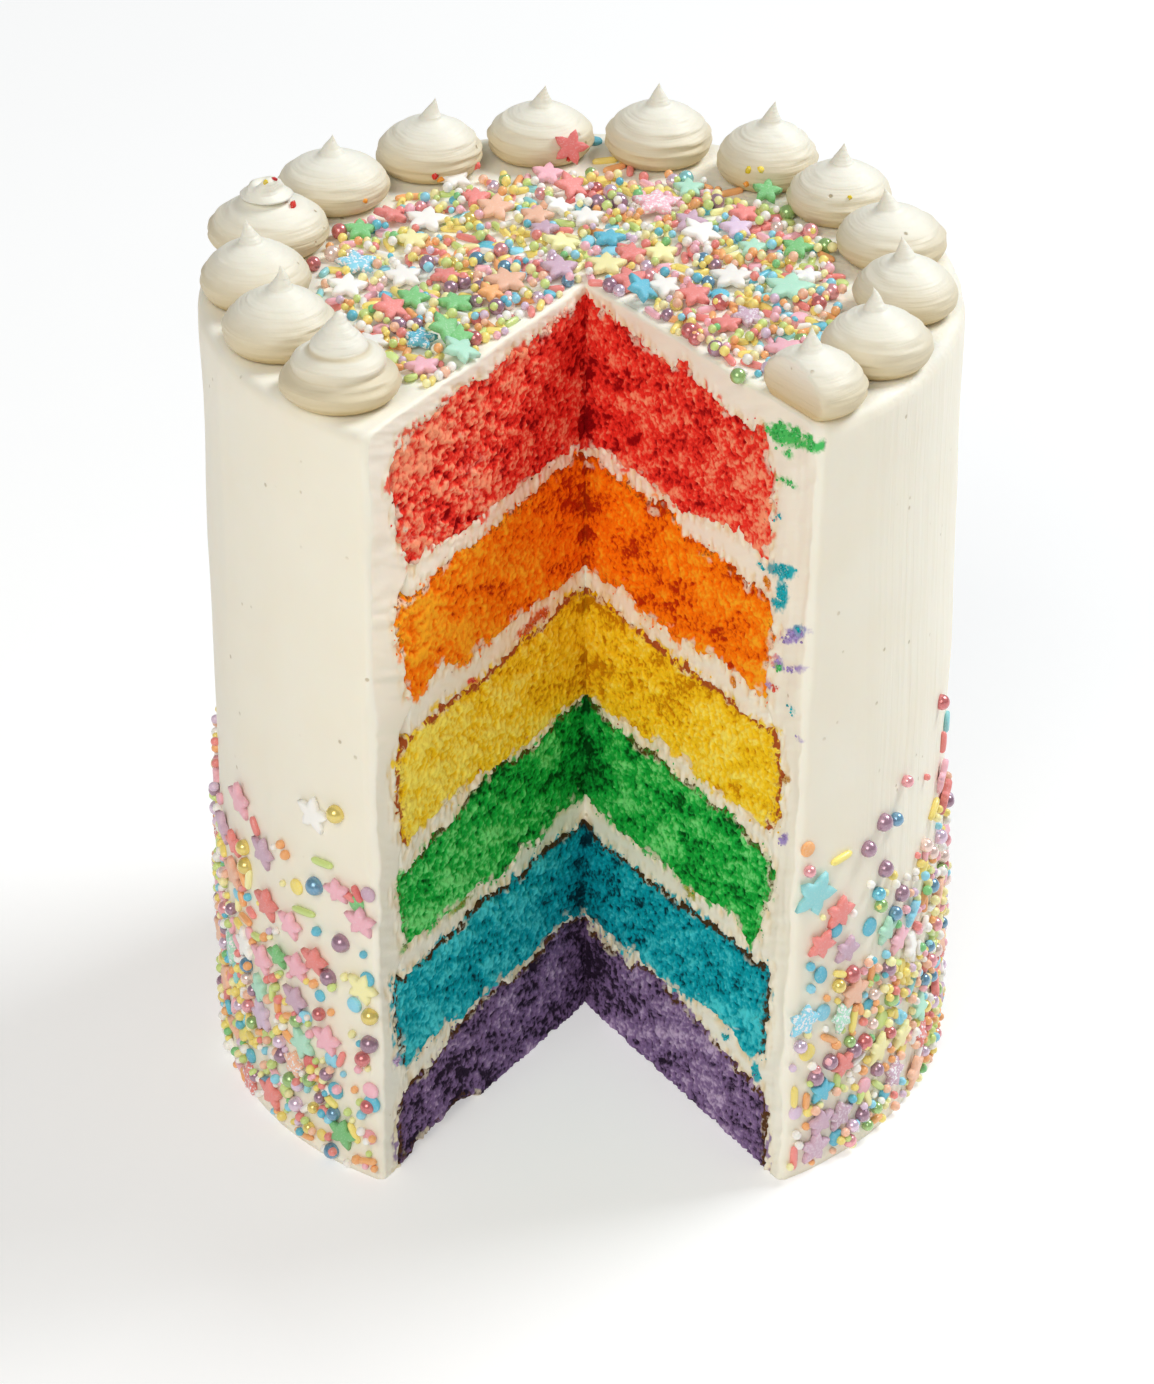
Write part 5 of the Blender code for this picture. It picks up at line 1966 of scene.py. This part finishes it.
    def seat(self, kind: Kind, where: Field, items: list[Placed]) -> Pair:
        """How large sprinkles of one kind are, and how far out of the cream they sit.

        Args:
            kind: The kind.
            where: The top or the side, where they sit deeper.
            items: The sprinkles.

        Returns:
            The sizes along their own axes (n, 3), and the distances of their middles.
        """
        on_top = where is Field.TOP
        size, lift = np.array([item.size for item in items]), np.array([item.lift for item in items])
        tilt = np.radians([item.tilt for item in items])
        tilted = kind in (Kind.STAR, Kind.DISC)
        scale, rest = np.repeat(size[:, None], 3, axis=1), (0.4 if on_top else 0.3) * size
        if kind is Kind.STAR:
            scale[:, 2] = 1.5 + 0.3 * self.rng.random(len(size))
            rest = (1.5 if on_top else 0.5) + 0.3 * size * np.sin(tilt)
        elif kind is Kind.DISC:
            scale[:, 2], rest = 1.2, 0.35 + 0.3 * size * np.sin(tilt)
        elif kind is Kind.ROD:
            scale[:, 1:], rest = 1.7, np.full_like(size, 0.5)
        if on_top:
            return scale, rest + lift
        lift = np.minimum(lift, 0.6)
        limit = 2.5 - 0.5 * scale[:, 2] - 0.45 * size * np.sin(tilt) * tilted
        return scale, np.minimum(rest, limit - lift) + lift

    def build(self, materials: dict[Kind, Material], coat: Coat) -> list[Object]:
        """Makes one joined piece for each kind, from the top and the side together.

        Args:
            materials: The finish of each kind.
            coat: The coat that they lie on.

        Returns:
            The pieces.
        """
        fields = {where: self.gather(where) for where in Field}
        made = []
        for kind in Kind:
            unit, triangles = self.shape(kind)
            skin = Skin(f"sprinkle_{kind.value}")
            for where, placed in fields.items():
                items = [item for item in placed if item.kind is kind]
                if where is Field.SIDE:
                    items = [self.keep_back(item) for item in items]
                base, out, axes = self.frames(where, items, coat)
                scale, rest = self.seat(kind, where, items)
                centre = base + rest[:, None] * out
                points = np.einsum("pk,nk,nkj->npj", unit, scale, axes) + centre[:, None, :]
                shade = self.rng.uniform(-self.shade, self.shade, len(items))
                pure = np.array([TINTS[item.tint] for item in items])
                tint = (pure + self.whiten * (self.white - pure)) * (1 + shade)[:, None]
                glitter = np.array([[item.glitter] for item in items])
                skin.copies(points, triangles, np.append(np.clip(tint, 0, 1), glitter, axis=1))
            made.append(settle(skin.finish(materials[kind])))
        return made

    def keep_back(self, item: Placed) -> Placed:
        """Moves a sprinkle so far that it ends at the cut's edge and over the foot.

        Args:
            item: The sprinkle, on the side.

        Returns:
            The sprinkle, moved where it has to be.
        """
        half, tall = 0.42 * item.size, 0.5 * item.size
        if item.kind is Kind.ROD:
            turn = math.radians(item.turn)
            half = 0.9 + 0.5 * item.size * abs(math.cos(turn))
            tall = 0.9 + 0.5 * item.size * abs(math.sin(turn))
        item = replace(item, b=max(item.b, tall + 0.3))
        nearest = 34.3 + 0.62 * half
        if item.a > 0:
            nearest += 0.9 - math.degrees(CUT.twist) * (1 - item.b / ICING_HEIGHT)
        return item if abs(item.a) > nearest else replace(item, a=math.copysign(nearest, item.a))


STAR_SIDE = line("0 -0.5, 0.86 -0.5, 1 -0.36, 1 0.24, 0.88 0.42, 0.6 0.5, 0 0.5")
DISC_SIDE = line("0 -0.5, 0.85 -0.5, 1 -0.1, 0.97 0.25, 0.82 0.46, 0 0.5")


# ---- the crumbs


SPECKS = entries(
    "red 3 -42 0.5 1.9; ruby 3 -70 0.12 1.3; gold 3 -110 0.14 1.1; red 5 -92 0.84 1.6; "
    "orange 5 -80 0.9 1.5; coral 5 -30 0.88 1.6; red 6 -60 0.86 1.5; gold 8 -125 0.72 1.7; "
    "yellow 8 -112 0.7 1.5; orange 8 -118 0.86 1.5; orange 4 -60 0.8 1.1; gold 9 -95 0.62 1"
)


@dataclass
class Crumbs:
    """Crumbs of sponge that stick to the cream of the cut faces, and specks on dollops.

    A speck has a tint, its dollop's index, a direction, a share of the way down, and a size.
    """

    seed: int = 23
    tries: int = 9000
    strewn: int = 200

    def on_cut(self, rng: np.random.Generator) -> tuple[Array, Array, Array]:
        """Crumbs in the smears, and others close to the sponges' edges.

        Args:
            rng: The random source.

        Returns:
            Their places t and z (n, 2), their sizes and their colours.
        """
        places, sizes, tints = [], [], []
        for smear in SMEARS:
            count = int(4 + 3.0 * smear.length * smear.height * smear.strength)
            t = smear.t + rng.normal(0, 0.42, count) * smear.length
            z = smear.z + rng.normal(0, 0.42, count) * smear.height + smear.slope * (t - smear.t)
            places.append(np.stack([t, z], -1))
            sizes.append(rng.uniform(0.25, 0.85, count))
            tints.append(np.clip(np.array(smear.colour) * rng.uniform(0.72, 1.15, (count, 1)), 0, 1))
        t, z = rng.uniform(-76, 76, self.tries), rng.uniform(6, 182, self.tries)
        depth, nearest = deepest(t, z)
        near = (depth > -1.7) & (depth < -0.1) & (np.abs(t) > 1.0)
        t, z, nearest = (values[near][:self.strewn] for values in (t, z, nearest))
        pick = rng.uniform(0, 1, (len(t), 1))
        places.append(np.stack([t, z], -1))
        sizes.append(rng.uniform(0.2, 0.55, len(t)))
        tints.append(np.where(pick < 0.9, of_sponge("crumb", nearest), of_sponge("burnt", nearest)))
        place, size, tint = np.concatenate(places), np.concatenate(sizes), np.concatenate(tints)
        keep = (np.abs(place[:, 0]) < 80.5) & (place[:, 1] > 1.0) & (place[:, 1] < 183.0)
        return place[keep], size[keep], tint[keep]

    def build(self, material: Material) -> Object:
        """Makes the piece of lumpy grains: balls with each point pushed in or out.

        Args:
            material: Its finish.

        Returns:
            The piece.
        """
        rng = np.random.default_rng(self.seed)
        place, size, tint = self.on_cut(rng)
        depth, _ = deepest(place[:, 0], place[:, 1])
        out = CREAM.height(place[:, 0], place[:, 1], depth) + 0.1 * size
        centre = CUT.place(place[:, 0], place[:, 1], out)
        touched = [DOLLOPS[int(index)].touch(turn, share) for _, (index, turn, share, _) in SPECKS]
        centre = np.concatenate([centre, touched])
        size = np.append(size, [numbers[-1] for _, numbers in SPECKS])
        tint = np.concatenate([tint, [TINTS[words[0]] for words, _ in SPECKS]])
        unit, triangles = Sprinkles.ball(6, 5)
        lumps = 1 + rng.uniform(-0.34, 0.34, (len(size), len(unit), 1))
        stretch = rng.uniform(0.75, 1.25, (len(size), 1, 3))
        points = unit[None] * lumps * stretch * size[:, None, None] + centre[:, None, :]
        skin = Skin("loose_crumbs")
        skin.copies(points, triangles, np.append(tint, np.zeros((len(tint), 1)), axis=1))
        return settle(skin.finish(material))


# ---- the studio


@dataclass
class Studio:
    """Floor, soft lights and the camera, in metres and radians."""

    eye: Point = (-0.02734, -1.00100, 0.66627)
    yaw: float = 0.02652
    pitch: float = 0.529317
    sensor: float = 36.0
    focal: float = 5157.25 / 1384 * 36.0
    floor_size: float = 6.0
    floor_glow: float = 0.42

    def camera(self) -> None:
        """A long lens that looks down on the cake by 30 degrees."""
        data = bpy.data.cameras.new("camera")
        data.lens, data.sensor_width = self.focal, self.sensor
        data.clip_start, data.clip_end = 0.05, 50.0
        made = bpy.data.objects.new("camera", data)
        made.location = self.eye
        made.rotation_euler = (0.5 * math.pi - self.pitch, 0.0, -self.yaw)
        bpy.context.scene.collection.objects.link(made)
        bpy.context.scene.camera = made

    def floor(self) -> None:
        """A wide pale floor with a faint grain."""
        mesh, size = bpy.data.meshes.new("floor"), self.floor_size
        corners = [(-size, -size, 0), (size, -size, 0), (size, size, 0), (-size, size, 0)]
        mesh.from_pydata(corners, [], [(0, 1, 2, 3)])
        material = bpy.data.materials.new("pale_floor")
        material.use_nodes = True
        wires = Wires(material.node_tree)
        shader = material.node_tree.nodes["Principled BSDF"]
        colour = wires.blend(wires.noise(6.0, 3.0), (0.61, 0.61, 0.605, 1.0), (0.64, 0.64, 0.635, 1.0))
        wires.join(colour, shader.inputs["Base Color"])
        for label, value in (
            ("Emission Color", (1.0, 1.0, 1.0, 1.0)),
            ("Emission Strength", self.floor_glow),
            ("Roughness", 0.6),
            ("Specular IOR Level", 0.2),
        ):
            shader.inputs[label].default_value = value
        dress("floor", mesh, material)

    def light(self, name: str, at: Point, size: float, power: float, tint: Colour) -> None:
        """One square soft light that shines on the cake's middle.

        Args:
            name: Its name.
            at: Where it hangs.
            size: Its width.
            power: Its power in watts.
            tint: Its colour.
        """
        data = bpy.data.lights.new(name, "AREA")
        data.size, data.energy, data.color = size, power, tint
        made = bpy.data.objects.new(name, data)
        made.location = at
        x, y, z = np.array((0.0, 0.0, 0.1)) - np.array(at)
        made.rotation_euler = (0.5 * math.pi + math.atan2(z, math.hypot(x, y)), 0.0, math.atan2(-x, y))
        bpy.context.scene.collection.objects.link(made)

    def build(self) -> None:
        """The whole setting: a bright white room with the key light at the right and behind."""
        self.camera()
        self.floor()
        self.light("key", (1.2, 0.6, 1.58), 0.8, 29.0, (0.97, 1.01, 1.05))
        self.light("front", (-0.675, -1.575, 1.56), 1.2, 24.0, (1.01, 0.98, 0.92))
        world = bpy.data.worlds.new("white_room")
        world.use_nodes = True
        background = world.node_tree.nodes["Background"].inputs
        background["Color"].default_value = (1.0, 1.0, 1.0, 1.0)
        background["Strength"].default_value = 0.21
        bpy.context.scene.world = world
        bpy.context.scene.view_settings.view_transform = "Standard"


# ---- the cake


def build_layers(crumb: NodeTree, cream: Material) -> None:
    """Makes the sponges in their colours and the fillings between them.

    Args:
        crumb: The node group of the sponges.
        cream: The fillings' finish.
    """
    for sponge in SPONGES:
        finish = Finish(
            f"{sponge.name}_crumb", roughness=0.9, subsurface=0.12, depth=1.2, bump=0.6, relief=0.45,
            specular=0.1, warmth=(1.0, 0.8, 0.7), inputs=(
                ("Pore", sponge.pore_shade), ("Crumb", sponge.crumb), ("Tip", sponge.tip), ("Crust", sponge.burnt),
            ),
        )
        SpongeLayer(sponge=sponge).build(finish.make(crumb))
    for lower, upper in zip(SPONGES, SPONGES[1:]):
        Filling(lower=lower, upper=upper).build(cream)


def sprinkle_finishes(sugar: NodeTree) -> dict[Kind, Material]:
    """Makes the finishes of pressed sugar, of hard shells and of pearls.

    Args:
        sugar: The node group of the sprinkles.

    Returns:
        The finish of each kind.
    """
    matt = Finish(
        "pressed_sugar", roughness=0.55, subsurface=0.1, depth=0.8, bump=0.25, relief=0.12,
        inputs=(("Speckle", 0.22),),
    ).make(sugar)
    shell = Finish(
        "hard_sugar_shell", roughness=0.32, subsurface=0.1, depth=0.6, bump=0.1, relief=0.06, coat=0.25,
        inputs=(("Speckle", 0.1),),
    ).make(sugar)
    lustre = Finish(
        "pearl_lustre", roughness=0.26, bump=0.08, relief=0.05, specular=0.7, coat=0.6, metallic=0.35,
        inputs=(("Speckle", 0.16),),
    ).make(sugar)
    return {Kind.STAR: matt, Kind.ROD: shell, Kind.DISC: matt, Kind.PEARL: lustre, Kind.BEAD: shell}


def main() -> None:
    """Builds the cake from its sponges out, then the room round it."""
    logging.basicConfig(level=logging.INFO, format="%(name)s %(message)s")
    crumb, cream, sugar = crumb_group(), cream_group(), sugar_group()
    spread = Finish(
        "spread_buttercream", subsurface=0.2, depth=1.8, bump=0.3, relief=0.25,
        inputs=(("Light", tone(250, 246, 232)), ("Warm", tone(238, 214, 168)), ("Lines", 0.0), ("Pits", 1.0)),
    ).make(cream)
    piped = Finish(
        "piped_buttercream", subsurface=0.15, depth=1.2, bump=0.4, relief=0.3,
        inputs=(("Light", tone(247, 246, 235)), ("Warm", tone(210, 189, 142)), ("Lines", 2.4), ("Pits", 1.5)),
    ).make(cream)
    grain = Finish(
        "crumb_grain", roughness=0.85, bump=0.4, relief=0.2, specular=0.2, inputs=(("Speckle", 0.3),)
    ).make(sugar)
    build_layers(crumb, spread)
    coat = Coat()
    coat.build(spread)
    for dollop in DOLLOPS:
        dollop.build(piped)
    Sprinkles().build(sprinkle_finishes(sugar), coat)
    Crumbs().build(grain)
    Studio().build()


if __name__ == "__main__":
    main()
